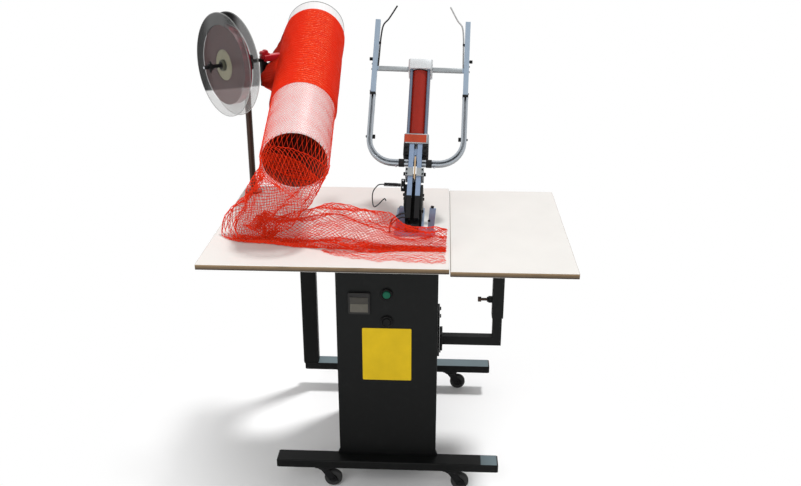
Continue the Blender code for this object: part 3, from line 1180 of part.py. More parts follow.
def main():
    """Build the whole machine under one empty."""
    clear_scene()
    root = empty("machine", (0, 0, 0))
    build_stand(root)
    build_casters(root)
    build_cabinet(root)
    build_panel(root)
    build_table(root)
    build_reel(root)
    build_net(root)
    build_head(root)
    centre_on_floor(root)


main()
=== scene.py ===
"""Looks of the table-top net clipping machine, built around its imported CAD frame.

Every CAD solid keeps its place. Most get a finish of their own, and the pieces that the photograph shows
in more detail are replaced: wheels, panel, cylinder, tape reel, net tube and the net itself.
Sizes are metres in the machine's own frame: X to the operator's right, Y back from the table's front edge
and Z up from the floor. `Machine.origin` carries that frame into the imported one. Outlines are listed in
millimetres and read through `mm`.
"""

import logging
import math
import random
from collections.abc import Callable, Iterable, Sequence
from dataclasses import dataclass
from enum import Enum

import bmesh
import bpy
from bmesh.types import BMEdge, BMVert
from mathutils import Matrix, Vector


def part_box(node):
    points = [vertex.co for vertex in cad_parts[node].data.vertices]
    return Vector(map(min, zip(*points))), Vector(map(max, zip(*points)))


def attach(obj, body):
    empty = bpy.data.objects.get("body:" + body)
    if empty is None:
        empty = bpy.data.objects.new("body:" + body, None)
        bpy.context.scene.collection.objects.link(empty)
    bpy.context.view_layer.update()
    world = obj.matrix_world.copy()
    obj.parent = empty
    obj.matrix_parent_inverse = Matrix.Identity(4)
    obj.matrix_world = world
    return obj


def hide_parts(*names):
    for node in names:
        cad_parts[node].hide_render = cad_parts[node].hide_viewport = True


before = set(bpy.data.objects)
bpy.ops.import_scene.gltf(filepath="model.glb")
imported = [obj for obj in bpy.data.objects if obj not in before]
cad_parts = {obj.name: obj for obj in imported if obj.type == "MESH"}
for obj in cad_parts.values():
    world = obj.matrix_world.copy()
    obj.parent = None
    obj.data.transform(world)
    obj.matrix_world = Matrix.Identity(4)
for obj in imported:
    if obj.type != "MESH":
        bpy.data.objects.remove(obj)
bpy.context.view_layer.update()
LOG = logging.getLogger("machine")
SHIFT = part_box("left_board")[0] - Vector((-0.441, 0.0, 0.735))

Triple = tuple[float, float, float]
Pair = tuple[float, float]
Colour = tuple[float, float, float, float]


class Axis(Enum):
    """The axis that an outline is extruded along."""

    X = 0
    Y = 1
    Z = 2


class Fastener(Enum):
    """The head that a screw or bolt shows."""

    SOCKET = "socket"
    HEX = "hex"
    PAN = "pan"


# Shader wrapper


def operator(operation: str, swapped: bool = False) -> Callable[..., "Field"]:
    """Make a method that combines a field with others in a Math node, in swapped order if asked."""
    def method(*values: "Field | float") -> "Field":
        """Grow the node."""
        return values[0].graph.maths(operation, *(values[::-1] if swapped else values))
    return method


class Field:
    """A socket of a node tree, with arithmetic that grows Math nodes."""

    def __init__(self, graph: "Graph", socket: bpy.types.NodeSocket) -> None:
        """Hold a socket and the graph that it belongs to."""
        self.graph = graph
        self.socket = socket

    __add__ = __radd__ = operator("ADD")
    __mul__ = __rmul__ = operator("MULTIPLY")
    __sub__ = operator("SUBTRACT")
    __rsub__ = operator("SUBTRACT", swapped=True)
    __truediv__ = operator("DIVIDE")
    sine = operator("SINE")
    root = operator("SQRT")
    larger = operator("MAXIMUM")

    def smooth(self, low: float, high: float) -> "Field":
        """Ease the field from 0 at low to 1 at high."""
        settings = {"interpolation_type": "SMOOTHSTEP"}
        inputs = {"Value": self, "From Min": low, "From Max": high}
        return self.graph.node("ShaderNodeMapRange", settings, inputs)


class Graph:
    """The node tree of a material or world, grown through a single method."""

    def __init__(self, owner: bpy.types.Material | bpy.types.World, shader: str = "Principled BSDF") -> None:
        """Start from the shader that a new material or world has."""
        owner.use_nodes = True
        self.owner = owner
        self.tree = owner.node_tree
        self.surface = self.tree.nodes[shader]

    def node(self, kind: str, settings: dict | None = None, inputs: dict | None = None,
             output: int | str = 0) -> Field:
        """Add a node.

        Args:
            kind: The node's type name.
            settings: Values for its own properties.
            inputs: Values or fields for its inputs, by name or number.
            output: The output to hand back.

        Returns:
            The chosen output as a field.
        """
        made = self.tree.nodes.new(kind)
        for key, value in (settings or {}).items():
            setattr(made, key, value)
        for key, value in (inputs or {}).items():
            self.feed(made.inputs[key], value)
        return Field(self, made.outputs[output])

    def feed(self, socket: bpy.types.NodeSocket, value: "Field | float | Sequence[float]") -> None:
        """Link a field to a socket, or set the socket to a value."""
        if isinstance(value, Field):
            self.tree.links.new(value.socket, socket)
        else:
            socket.default_value = value

    def set(self, name: str, value: "Field | float | Sequence[float]") -> None:
        """Feed one input of the shader."""
        self.feed(self.surface.inputs[name], value)

    def maths(self, operation: str, *values: "Field | float") -> Field:
        """Combine values with a Math node."""
        return self.node("ShaderNodeMath", {"operation": operation}, dict(enumerate(values)))

    def mix(self, low: "Field | Colour", high: "Field | Colour", share: "Field | float") -> Field:
        """Blend two colours by a share."""
        return self.node("ShaderNodeMix", {"data_type": "RGBA"}, {0: share, 6: low, 7: high}, 2)

    def place(self, size: float | Triple = 1.0, turned: Triple = (0, 0, 0)) -> Field:
        """Return the place on the object, turned back by an angle and measured in grains of a size."""
        where = self.node("ShaderNodeTexCoord", output="Object")
        scale = size if isinstance(size, tuple) else (size,) * 3
        inputs = {"Vector": where, "Rotation": turned, "Scale": scale}
        return self.node("ShaderNodeMapping", {"vector_type": "TEXTURE"}, inputs)

    def grain(self, size: float | Triple, turned: Triple = (0, 0, 0), detail: float = 3.0) -> Field:
        """Return noise from 0 to 1 whose features are about a size in metres."""
        inputs = {"Vector": self.place(size, turned), "Scale": 1.0, "Detail": detail}
        return self.node("ShaderNodeTexNoise", {}, inputs)

    def along(self, axis: Axis) -> Field:
        """Return one coordinate of the place on the object, in metres."""
        return self.node("ShaderNodeSeparateXYZ", {}, {0: self.place()}, axis.value)

    def uv(self, axis: Axis) -> Field:
        """Return one coordinate of the piece's own UV map, in metres."""
        where = self.node("ShaderNodeUVMap", {"uv_map": "run"})
        return self.node("ShaderNodeSeparateXYZ", {}, {0: where}, axis.value)

    def coat(self, colour: Field, roughness: Field, shine: float = 0.5, height: Field | None = None,
             depth: float = 0.0) -> None:
        """Feed the surface.

        Args:
            colour: Its colour.
            roughness: Its roughness.
            shine: Its specular level.
            height: The field that raises it, if any.
            depth: How far that raises it, in metres.
        """
        self.set("Base Color", colour)
        self.set("Roughness", roughness)
        self.set("Specular IOR Level", shine)
        if height:
            self.set("Normal", self.node("ShaderNodeBump", {}, {"Height": height, "Distance": depth}))


def tinted(colour: Triple, factor: float = 1.0) -> Colour:
    """Return a colour with alpha, made lighter or darker."""
    return (*(min(1.0, part * factor) for part in colour), 1.0)


# Finishes


@dataclass(frozen=True)
class Finish:
    """What every finish has.

    Args:
        name: The material's name.
        slot: The record's material slot that it stands for; not used.
        colour: Its linear colour.
        roughness: Its mean roughness.
        metallic: Its metallic value.
        turn: The turn of the piece's own frame, for finishes with a direction.
    """

    name: str
    slot: str
    colour: Triple
    roughness: float = 0.4
    metallic: float = 0.0
    turn: Triple = (0.0, 0.0, 0.0)

    def material(self) -> bpy.types.Material:
        """Return the material, made once."""
        found = bpy.data.materials.get(self.name)
        if found is None:
            found = bpy.data.materials.new(self.name)
            graph = Graph(found)
            graph.set("Metallic", self.metallic)
            self.shade(graph)
            found.diffuse_color = self.tone()
        return found

    def tone(self, factor: float = 1.0) -> Colour:
        """Return the finish's own colour, made lighter or darker."""
        return tinted(self.colour, factor)

    def shade(self, graph: Graph) -> None:
        """Feed the surface."""
        raise NotImplementedError


@dataclass(frozen=True)
class PowderCoat(Finish):
    """Sprayed powder coat: a fine pebble, dull patches and a few light scuffs, with painted light that makes
    it greyer toward the top.

    Args:
        pebble: The size of the pebble.
        top: The height above which a flat upper side carries a painted pale sheen of light; 0 for none.
        since: The place along X from which that painted sheen starts.
    """

    pebble: float = 0.001
    top: float = 0.0
    since: float = -9.0

    def shade(self, graph: Graph) -> None:
        """Feed the surface."""
        patch = graph.grain(0.11, detail=5)
        scuff = graph.grain((0.0015, 0.0015, 0.035), detail=4).smooth(0.66, 0.8)
        dust = graph.grain(0.018, detail=6).smooth(0.5, 0.9)
        across, height = graph.along(Axis.X), graph.along(Axis.Z)
        base = graph.mix(self.tone(0.8), self.tone(1.25), patch)
        # Painted light: the coat is mixed toward a paler grey with height, standing for light on its upper
        # parts.
        base = graph.mix(base, self.tone(2.4), height.smooth(0.1, 0.8) * 0.8)
        worn = graph.mix(base, tinted((0.06, 0.062, 0.062)), scuff * 0.18 + dust * 0.05)
        # Painted light: a flat upper side, from the place `since` on, is mixed toward a pale blue-grey sheen.
        if self.top:
            upper = height.smooth(self.top - 0.0006, self.top)
            painted_sheen = upper * across.smooth(self.since, self.since + 0.004)
            worn = graph.mix(worn, tinted((0.16, 0.21, 0.23)), painted_sheen * (0.75 + patch * 0.25))
        roughness = self.roughness + patch * 0.14 + scuff * 0.12
        graph.coat(worn, roughness, 0.13, graph.grain(self.pebble, detail=2), 0.00004)


@dataclass(frozen=True)
class GroundSteel(Finish):
    """Ground or drawn steel: streaks along one direction, with faint tarnish."""

    streak: Triple = (0.0005, 0.0005, 0.05)
    tarnish: float = 0.3

    def shade(self, graph: Graph) -> None:
        """Feed the surface."""
        streak = graph.grain(self.streak, self.turn, 4)
        patch = graph.grain(0.024, detail=5).smooth(0.45, 0.8)
        base = graph.mix(self.tone(0.78), self.tone(1.2), streak)
        base = graph.mix(base, self.tone(0.5), patch * self.tarnish)
        graph.coat(base, self.roughness + streak * 0.14 + patch * 0.12, height=streak, depth=0.000012)


@dataclass(frozen=True)
class CastMetal(Finish):
    """Bead-blasted or oxidised metal with a fine even tooth."""

    tooth: float = 0.0005
    shine: float = 0.5

    def shade(self, graph: Graph) -> None:
        """Feed the surface."""
        tooth = graph.grain(self.tooth)
        rub = graph.grain((0.004, 0.004, 0.012), self.turn, 4).smooth(0.6, 0.85)
        base = graph.mix(self.tone(0.8), self.tone(1.18), graph.grain(0.02, detail=5))
        base = graph.mix(base, self.tone(1.9), rub * 0.25)
        graph.coat(base, self.roughness + tooth * 0.1 - rub * 0.1, self.shine, tooth, 0.00002)


@dataclass(frozen=True)
class Lacquer(Finish):
    """Glossy lacquer with an orange peel, pooled darker in places."""

    shine: float = 0.25

    def shade(self, graph: Graph) -> None:
        """Feed the surface."""
        pool = graph.grain((0.03, 0.03, 0.06), self.turn, 4)
        nick = graph.grain((0.0016, 0.0016, 0.004), self.turn).smooth(0.74, 0.82)
        base = graph.mix(self.tone(0.72), self.tone(1.25), pool)
        base = graph.mix(base, self.tone(0.35), nick * 0.6)
        graph.coat(base, self.roughness + nick * 0.3, self.shine, graph.grain(0.005, detail=2), 0.00005)


@dataclass(frozen=True)
class Laminate(Finish):
    """White table laminate with specks, smudges and fine cutting marks."""

    def shade(self, graph: Graph) -> None:
        """Feed the surface."""
        speck = graph.grain(0.0016, detail=2).smooth(0.7, 0.78)
        smudge = graph.grain((0.07, 0.1, 0.05), detail=6)
        grime = graph.grain((0.02, 0.012, 0.02), detail=5).smooth(0.62, 0.85)
        mark = graph.grain((0.06, 0.0011, 0.01), (0, 0, 0.35)).smooth(0.72, 0.8)
        base = graph.mix(self.tone(0.94), self.tone(1.03), smudge)
        base = graph.mix(base, tinted((0.55, 0.5, 0.43)), grime * 0.12)
        base = graph.mix(base, tinted((0.42, 0.38, 0.33)), (speck * 0.16).larger(mark * 0.1))
        roughness = self.roughness + smudge * 0.12 + mark * 0.1
        graph.coat(base, roughness, height=graph.grain(0.0022), depth=0.00002)


@dataclass(frozen=True)
class BoardEdge(Finish):
    """Brown edge of the board: a lighter line under the laminate over darker pressed chips."""

    top: float = 0.75
    thickness: float = 0.015

    def shade(self, graph: Graph) -> None:
        """Feed the surface."""
        chip = graph.grain((0.006, 0.006, 0.0014), detail=5)
        stain = graph.grain((0.05, 0.05, 0.008), detail=4).smooth(0.5, 0.8)
        line = (graph.along(Axis.Z) - (SHIFT.z + self.top - self.thickness)) / self.thickness
        base = graph.mix(self.tone(0.55), self.tone(1.5), chip)
        base = graph.mix(base, self.tone(2.3), line.smooth(0.55, 0.8) * 0.8)
        base = graph.mix(self.tone(0.18), base, line.smooth(0.18, 0.45))
        base = graph.mix(base, self.tone(0.35), stain * 0.5)
        graph.coat(base, self.roughness + chip * 0.2, height=chip, depth=0.00012)


@dataclass(frozen=True)
class Moulded(Finish):
    """Moulded plastic with a fine texture and rubbed spots."""

    texture: float = 0.0007
    patch: float = 0.008
    shine: float = 0.3

    def shade(self, graph: Graph) -> None:
        """Feed the surface."""
        rub = graph.grain(self.patch, detail=5)
        base = graph.mix(self.tone(0.85), self.tone(1.2), rub)
        texture = graph.grain(self.texture, detail=2)
        graph.coat(base, self.roughness + rub * 0.12, self.shine, texture, 0.000025)


@dataclass(frozen=True)
class Rubber(Finish):
    """Wheel rubber, dusty and scuffed on the tread."""

    def shade(self, graph: Graph) -> None:
        """Feed the surface."""
        grit = graph.grain(0.0018, detail=5)
        dust = graph.grain(0.011, detail=5).smooth(0.42, 0.8)
        base = graph.mix(self.tone(0.8), self.tone(1.4), grit)
        base = graph.mix(base, tinted((0.1, 0.095, 0.085)), dust * 0.3)
        graph.coat(base, self.roughness + dust * 0.1, height=grit, depth=0.00008)


@dataclass(frozen=True)
class PaintedReflectionPlastic(Finish):
    """Clear sheet of a reel flange with a painted reflection in its colour and alpha: a dark room above a
    level line and a pale floor below it.

    Its UV map holds the place on the disc, across and up, measured from the axle.

    Args:
        tape: The radius of the tape that shows through.
        rim: The radius where the painted highlight along the rim starts.
        level: The height of the level line.
        left: The grey of the painted dark room's left part.
        right: The grey of its right part.
        side: The place across where one turns into the other.
        clear: How much clearer the sheet is on its right, where the painted reflection thins.
    """

    tape: float = 0.107
    rim: float = 0.1385
    level: float = -0.066
    left: float = 0.02
    right: float = 0.11
    side: float = -0.075
    clear: float = 0.68

    def shade(self, graph: Graph) -> None:
        """Feed the surface."""
        across, up = graph.uv(Axis.X), graph.uv(Axis.Y)
        radius = (across * across + up * up).root()
        over_tape = 1.0 - radius.smooth(self.tape - 0.001, self.tape + 0.001)
        above = (up - across * 0.2).smooth(self.level - 0.003, self.level + 0.003)
        clear = across.smooth(0.01, 0.06) * self.clear
        # Painted highlight: a pale line along the rim, also raised in the alpha; scratches are mixed in as
        # the sheet's own marks.
        edge = radius.smooth(self.rim - 0.0012, self.rim)
        scratch = graph.grain((0.0008, 0.0008, 0.03)).smooth(0.68, 0.78)
        cloud = graph.grain(0.05, detail=4)
        # Painted reflection: the dark room above the level line, grey on its left and right, and the pale
        # floor below it.
        room = across.smooth(self.side - 0.03, self.side + 0.03)
        shade = graph.mix(tinted((self.left,) * 3), tinted((self.right,) * 3), room)
        shade = graph.mix(tinted((0.5, 0.5, 0.49)), shade, above)
        shade = graph.mix(shade, tinted((0.4, 0.41, 0.4)), edge * 0.5 + scratch * 0.15)
        # The painted reflection also sets the alpha: the sheet is less clear above the level line.
        outside = 0.3 + above * (0.6 - clear * 0.8) + cloud * 0.05
        inside = 0.08 + above * 0.12 + cloud * 0.04
        alpha = outside * (1.0 - over_tape) + inside * over_tape
        graph.set("Alpha", alpha.larger(edge * 0.6) + scratch * 0.05)
        graph.coat(shade, self.roughness + scratch * 0.2, 0.06)


@dataclass(frozen=True)
class WoundTape(Finish):
    """The side and rim of wound tape: one thin line for each turn."""

    layer: float = 0.0011

    def shade(self, graph: Graph) -> None:
        """Feed the surface."""
        radius = graph.uv(Axis.Y)
        line = graph.maths("FRACT", radius / self.layer + graph.grain(0.03) * 2.0).smooth(0.2, 0.8)
        inputs = {"W": radius * 160.0, "Scale": 1.0}
        band = graph.node("ShaderNodeTexNoise", {"noise_dimensions": "1D"}, inputs).smooth(0.45, 0.75)
        base = graph.mix(self.tone(0.5), self.tone(1.4), line)
        base = graph.mix(base, self.tone(0.35), band * 0.6)
        graph.coat(base, self.roughness + line * 0.1, height=line, depth=0.00008)


@dataclass(frozen=True)
class NetStrand(Finish):
    """Knitted plastic strand, brighter where it is stretched thin."""

    def shade(self, graph: Graph) -> None:
        """Feed the surface."""
        fibre = graph.grain(0.0006, detail=2)
        base = graph.mix(self.tone(0.8), tinted((0.97, 0.055, 0.01)), graph.grain(0.012, detail=4))
        base = graph.mix(base, tinted((1.0, 0.26, 0.13)), fibre.smooth(0.6, 0.8) * 0.35)
        graph.coat(base, self.roughness + fibre * 0.2, 0.12, fibre, 0.00006)


@dataclass(frozen=True)
class GatheredNet(Finish):
    """Many layers of net pushed together: gathers round the tube, crossing strands, painted shade in the gaps
    and painted highlights.

    Its UV map holds the way round and the way along the tube.

    Args:
        strand: The distance between strands round the tube.
        gather: The distance between gathers along it.
        slope: How steeply the strands cross, in radians for each metre along.
        lit: The way round to the middle of the band that catches the light.
        pleat: The way round to the crease beside the loose fold, where a shadow is painted.
    """

    strand: float = 0.0034
    gather: float = 0.0036
    slope: float = 700.0
    lit: float = -0.108
    pleat: float = -0.262

    def shade(self, graph: Graph) -> None:
        """Feed the surface."""
        across, along = graph.uv(Axis.X), graph.uv(Axis.Y)
        sway = graph.grain(0.05) * 9.0
        gather = (along * (math.tau / self.gather) + across * 16.0 + sway).sine() * 0.5 + 0.5
        weft, warp = across * (math.tau / self.strand), along * self.slope
        thread = (weft + warp + sway).sine().larger((weft - warp + sway).sine()).smooth(0.2, 0.95)
        patch = graph.grain(0.025, detail=5)
        off, fold = across - self.lit, across - self.pleat
        band = 1.0 - (off * off).smooth(0.0003, 0.0024)
        # Painted highlight: glints that gather in the lit band.
        glint = graph.grain((0.0042, 0.0042, 0.0018)).smooth(0.55, 0.68) * (band * 0.85 + 0.15)
        # Painted shadow along the crease beside the loose fold.
        shadow = 1.0 - (fold * fold).smooth(0.0004, 0.001)
        # Painted shade: darker in the gaps between gathers and strands, with more contrast in the lit band.
        painted_gap_shading = 0.72 + (thread * 0.5 + gather * 0.5 - 0.6) * (band * 0.6 + 0.4)
        base = graph.mix(self.tone(0.58), self.tone(1.05), painted_gap_shading)
        # Painted highlight: a brighter red on the tops of the gathers within the lit band.
        painted_crest_highlight = gather.smooth(0.5, 1.0) * patch.smooth(0.3, 0.55) * band
        base = graph.mix(base, tinted((1.0, 0.07, 0.01)), painted_crest_highlight)
        base = graph.mix(base, self.tone(0.65), patch.smooth(0.6, 0.8) * 0.4)
        base = graph.mix(base, tinted((1.0, 0.42, 0.26)), glint * gather * 0.75)
        base = graph.mix(base, self.tone(0.3), shadow * 0.85)
        graph.coat(base, self.roughness + thread * 0.15, 0.08, gather + thread * 0.5, 0.0006)


@dataclass(frozen=True)
class PipePlastic(Finish):
    """Extruded plastic pipe with faint lengthwise draw lines."""

    def shade(self, graph: Graph) -> None:
        """Feed the surface."""
        draw = graph.grain((0.003, 0.003, 0.25), self.turn, 4)
        rub = graph.grain((0.03, 0.03, 0.05), self.turn, 5)
        base = graph.mix(self.tone(0.88), self.tone(1.04), draw)
        graph.coat(base, self.roughness + rub * 0.15, height=draw, depth=0.00004)


# Meshes


def mm(*places: Sequence[float]) -> list[tuple[float, ...]]:
    """Read places that are listed in millimetres."""
    return [tuple(value / 1000 for value in place) for place in places]


def mirrored(lower: list[Pair], *middle: Pair) -> list[Pair]:
    """Close an outline of (radius, height) pairs with the mirror image of its lower part."""
    return [*lower, *middle, *((radius, -height) for radius, height in reversed(lower))]


def rounded(left: float, low: float, right: float, high: float, radius: float) -> list[Pair]:
    """Outline a rectangle with rounded corners."""
    corners = [(right - radius, low + radius, -90), (right - radius, high - radius, 0),
               (left + radius, high - radius, 90), (left + radius, low + radius, 180)]
    angles = [(x, y, math.radians(start + 22.5 * i)) for x, y, start in corners for i in range(5)]
    return [(x + radius * math.cos(angle), y + radius * math.sin(angle)) for x, y, angle in angles]


def only(kind: type, parts: Iterable[object]) -> list:
    """Return the vertices, or the edges, among what an operator made."""
    return [part for part in parts if isinstance(part, kind)]


class Shape:
    """A mesh in the making, grown with bmesh operators."""

    def __init__(self) -> None:
        """Start with nothing."""
        self.mesh = bmesh.new()

    @classmethod
    def box(cls, low: Sequence[float], high: Sequence[float]) -> "Shape":
        """Make a box between two corners."""
        made, low, high = cls(), Vector(low), Vector(high)
        place = at(*(low + high) / 2) @ Matrix.Diagonal((*(high - low), 1))
        bmesh.ops.create_cube(made.mesh, size=1, matrix=place)
        return made

    @classmethod
    def rod(cls, radius: float, low: float, high: float, segments: int = 32) -> "Shape":
        """Make a cylinder along Z."""
        made = cls()
        bmesh.ops.create_cone(made.mesh, cap_ends=True, segments=segments, radius1=radius, radius2=radius,
                              depth=high - low, matrix=at(0, 0, (low + high) / 2))
        return made

    @classmethod
    def lathe(cls, outline: Sequence[Pair], segments: int = 64) -> "Shape":
        """Spin a closed outline of (radius, height) pairs about Z, and keep radius and height as UV."""
        made = cls()
        mesh = made.mesh
        points = [mesh.verts.new((radius, 0, height)) for radius, height in outline]
        edges = [mesh.edges.new((a, b)) for a, b in zip(points, points[1:] + points[:1])]
        bmesh.ops.spin(mesh, geom=points + edges, cent=(0, 0, 0), axis=(0, 0, 1), angle=math.tau,
                       steps=segments, use_merge=True)
        bmesh.ops.remove_doubles(mesh, verts=mesh.verts, dist=1e-6)
        bmesh.ops.dissolve_degenerate(mesh, edges=mesh.edges, dist=1e-6)
        made.map(lambda co: (co.z, math.hypot(co.x, co.y)))
        return made

    @classmethod
    def prism(cls, outline: Sequence[Pair], low: float, high: float, axis: Axis = Axis.Z) -> "Shape":
        """Extrude an outline along an axis. Along X the pairs are (y, z), along Y (x, z)."""
        made = cls()
        points = []
        for a, b in outline:
            place = [a, b]
            place.insert(axis.value, low)
            points.append(made.mesh.verts.new(place))
        face = made.mesh.faces.new(points)
        grown = bmesh.ops.extrude_face_region(made.mesh, geom=[face], use_keep_orig=True)["geom"]
        move = Vector((0, 0, 0))
        move[axis.value] = high - low
        bmesh.ops.translate(made.mesh, vec=move, verts=only(BMVert, grown))
        return made

    @classmethod
    def skin(cls, rings: Sequence[Sequence[Vector]], capped: bool = False) -> "Shape":
        """Join rings of points into a surface, and close its ends if asked."""
        made = cls()
        rows = [[made.mesh.verts.new(point) for point in ring] for ring in rings]
        for one, two in zip(rows, rows[1:]):
            for i in range(len(one)):
                j = (i + 1) % len(one)
                made.mesh.faces.new((one[i], one[j], two[j], two[i]))
        if capped:
            made.mesh.faces.new(rows[0])
            made.mesh.faces.new(rows[-1])
        return made

    @classmethod
    def netting(cls, surface: Callable[[float, float], Vector], columns: int, rows: int, strand: float,
                closed: bool = True, slack: float = 0.0, seed: int = 1) -> "Shape":
        """Lay a net of diamond meshes on a surface.

        Args:
            surface: Gives the point at a share round and a share along.
            columns: Meshes round or across.
            rows: Half meshes along.
            strand: The strand's thickness.
            closed: Whether the net closes round.
            slack: How far a knot may stray.
            seed: Seed of the strays.

        Returns:
            The strands as one mesh.
        """
        made, stray = cls(), random.Random(seed)
        knots = []
        for j in range(rows + 1):
            count = columns if closed or j % 2 else columns + 1
            row = []
            for i in range(count):
                around = (i + 0.5 * (j % 2)) / columns
                off = Vector([stray.uniform(-slack, slack) for _ in range(3)])
                row.append(made.mesh.verts.new(surface(around, j / rows) + off))
            knots.append(row)
        for j in range(rows - 1):
            step = j % 2
            for i in range(columns if closed or not step else columns - 1):
                if not closed and not step and not 0 < i < columns:
                    continue
                low, high, side = knots[j], knots[j + 2], knots[j + 1]
                left, right = (i, i + 1) if step else (i - 1, i)
                if closed:
                    left, right = left % columns, right % columns
                made.mesh.faces.new((low[i], side[right], high[i], side[left]))
        loose = [vert for vert in made.mesh.verts if not vert.link_faces]
        bmesh.ops.delete(made.mesh, geom=loose, context="VERTS")
        bmesh.ops.recalc_face_normals(made.mesh, faces=made.mesh.faces)
        bmesh.ops.wireframe(made.mesh, faces=made.mesh.faces, thickness=strand, offset=0, use_replace=True,
                            use_boundary=True, use_even_offset=False)
        return made

    @classmethod
    def tube(cls, path: Sequence[Vector], radius: Callable[[float], float], segments: int = 12) -> "Shape":
        """Sweep a circle along a path with a radius that may change along it."""
        rings, side = [], None
        for index, place in enumerate(path):
            ahead = (path[min(index + 1, len(path) - 1)] - path[max(index - 1, 0)]).normalized()
            side = (side or Vector((0.31, 0.42, 0.85))).cross(ahead).cross(ahead).normalized() * -1
            up = ahead.cross(side)
            size = radius(index / (len(path) - 1))
            rings.append([place + side * (size * math.cos(math.tau * i / segments))
                          + up * (size * math.sin(math.tau * i / segments)) for i in range(segments)])
        return cls.skin(rings, capped=True)

    @classmethod
    def fastener(cls, kind: Fastener, radius: float, height: float) -> "Shape":
        """Make the head of a screw or bolt that stands on Z 0."""
        if kind is Fastener.HEX:
            wide, low = radius * 1.18, height * 0.16
            nut = cls.rod(radius, low, height, 6).bevelled(height * 0.1, 1)
            return cls.lathe([(0, 0), (wide, 0), (wide, low), (0, low)], 24).plus(nut)
        made = cls()
        mesh = made.mesh
        outer = bmesh.ops.create_circle(mesh, segments=24, radius=radius)["verts"]
        ring = list({edge for vert in outer for edge in vert.link_edges})
        rim = made.raised(ring, height)
        sides = 6 if kind is Fastener.SOCKET else 4
        hole = bmesh.ops.create_circle(mesh, segments=sides, radius=radius * 0.52,
                                       matrix=at(0, 0, height))["verts"]
        well = list({edge for vert in hole for edge in vert.link_edges})
        bmesh.ops.bridge_loops(mesh, edges=rim + well)
        bmesh.ops.holes_fill(mesh, edges=made.raised(well, -height * 0.55), sides=24)
        bmesh.ops.holes_fill(mesh, edges=ring, sides=24)
        bmesh.ops.recalc_face_normals(mesh, faces=mesh.faces)
        return made.bevelled(radius * 0.12, 2, 60)

    def raised(self, edges: list[BMEdge], height: float) -> list[BMEdge]:
        """Extrude edges along Z, and return the new ones."""
        grown = bmesh.ops.extrude_edge_only(self.mesh, edges=edges)["geom"]
        bmesh.ops.translate(self.mesh, vec=(0, 0, height), verts=only(BMVert, grown))
        return only(BMEdge, grown)

    def map(self, place: Callable[[Vector], Pair]) -> "Shape":
        """Write a UV map in metres from each corner's place."""
        layer = self.mesh.loops.layers.uv.get("run") or self.mesh.loops.layers.uv.new("run")
        for face in self.mesh.faces:
            for loop in face.loops:
                loop[layer].uv = place(loop.vert.co)
        return self

    def bevelled(self, width: float, segments: int = 2, angle: float = 30) -> "Shape":
        """Round the edges that are sharper than an angle in degrees."""
        limit = math.radians(angle)
        bmesh.ops.recalc_face_normals(self.mesh, faces=self.mesh.faces)
        edges = [edge for edge in self.mesh.edges if edge.is_manifold and edge.calc_face_angle(0) > limit]
        bmesh.ops.bevel(self.mesh, geom=edges, offset=width, offset_type="OFFSET", segments=segments,
                        profile=0.5, affect="EDGES", clamp_overlap=True, material=-1)
        return self

    def moved(self, place: Matrix) -> "Shape":
        """Move the mesh by a matrix."""
        self.mesh.transform(place)
        return self

    def plus(self, other: "Shape") -> "Shape":
        """Take in another shape and free it."""
        carrier = bpy.data.meshes.new("carrier")
        other.mesh.to_mesh(carrier)
        other.mesh.free()
        self.mesh.from_mesh(carrier)
        bpy.data.meshes.remove(carrier)
        return self

    def block(self, low: Sequence[float], high: Sequence[float], width: float) -> "Shape":
        """Add a box between two corners, with its edges rounded by a width."""
        return self.plus(Shape.box(low, high).bevelled(width))

    def fasten(self, kind: Fastener, radius: float, height: float, places: Iterable[Matrix]) -> "Shape":
        """Add the head of a screw or bolt at each place."""
        for place in places:
            self.plus(Shape.fastener(kind, radius, height).moved(place))
        return self


def at(x: float, y: float, z: float) -> Matrix:
    """Return a move."""
    return Matrix.Translation((x, y, z))


def turn(degrees: float, axis: str) -> Matrix:
    """Return a turn about an axis."""
    return Matrix.Rotation(math.radians(degrees), 4, axis)


def smooth_route(points: Sequence[Vector], steps: int) -> list[Vector]:
    """Read a smooth curve through route points, with a number of steps between each pair."""
    padded = [2 * points[0] - points[1], *points, 2 * points[-1] - points[-2]]
    route = []
    for a, b, c, d in zip(padded, padded[1:], padded[2:], padded[3:]):
        for step in range(steps):
            t = step / steps
            route.append((2 * b + (c - a) * t + (2 * a - 5 * b + 4 * c - d) * t * t
                          + (3 * b - a - 3 * c + d) * t * t * t) / 2)
    return [*route, points[-1]]


def ripple(x: float, y: float, seed: float = 0.0) -> float:
    """Return a smooth wave from about -1 to 1 that doesn't repeat soon."""
    return (math.sin(2.1 * x + 1.3 * y + seed) + math.sin(3.7 * x - 2.9 * y + 2.2 * seed + 1.0)
            + math.sin(5.3 * x + 4.1 * y + 3.1 * seed + 2.0)) / 3


def eased(share: float) -> float:
    """Ease a share between 0 and 1."""
    return share * share * (3 - 2 * share)


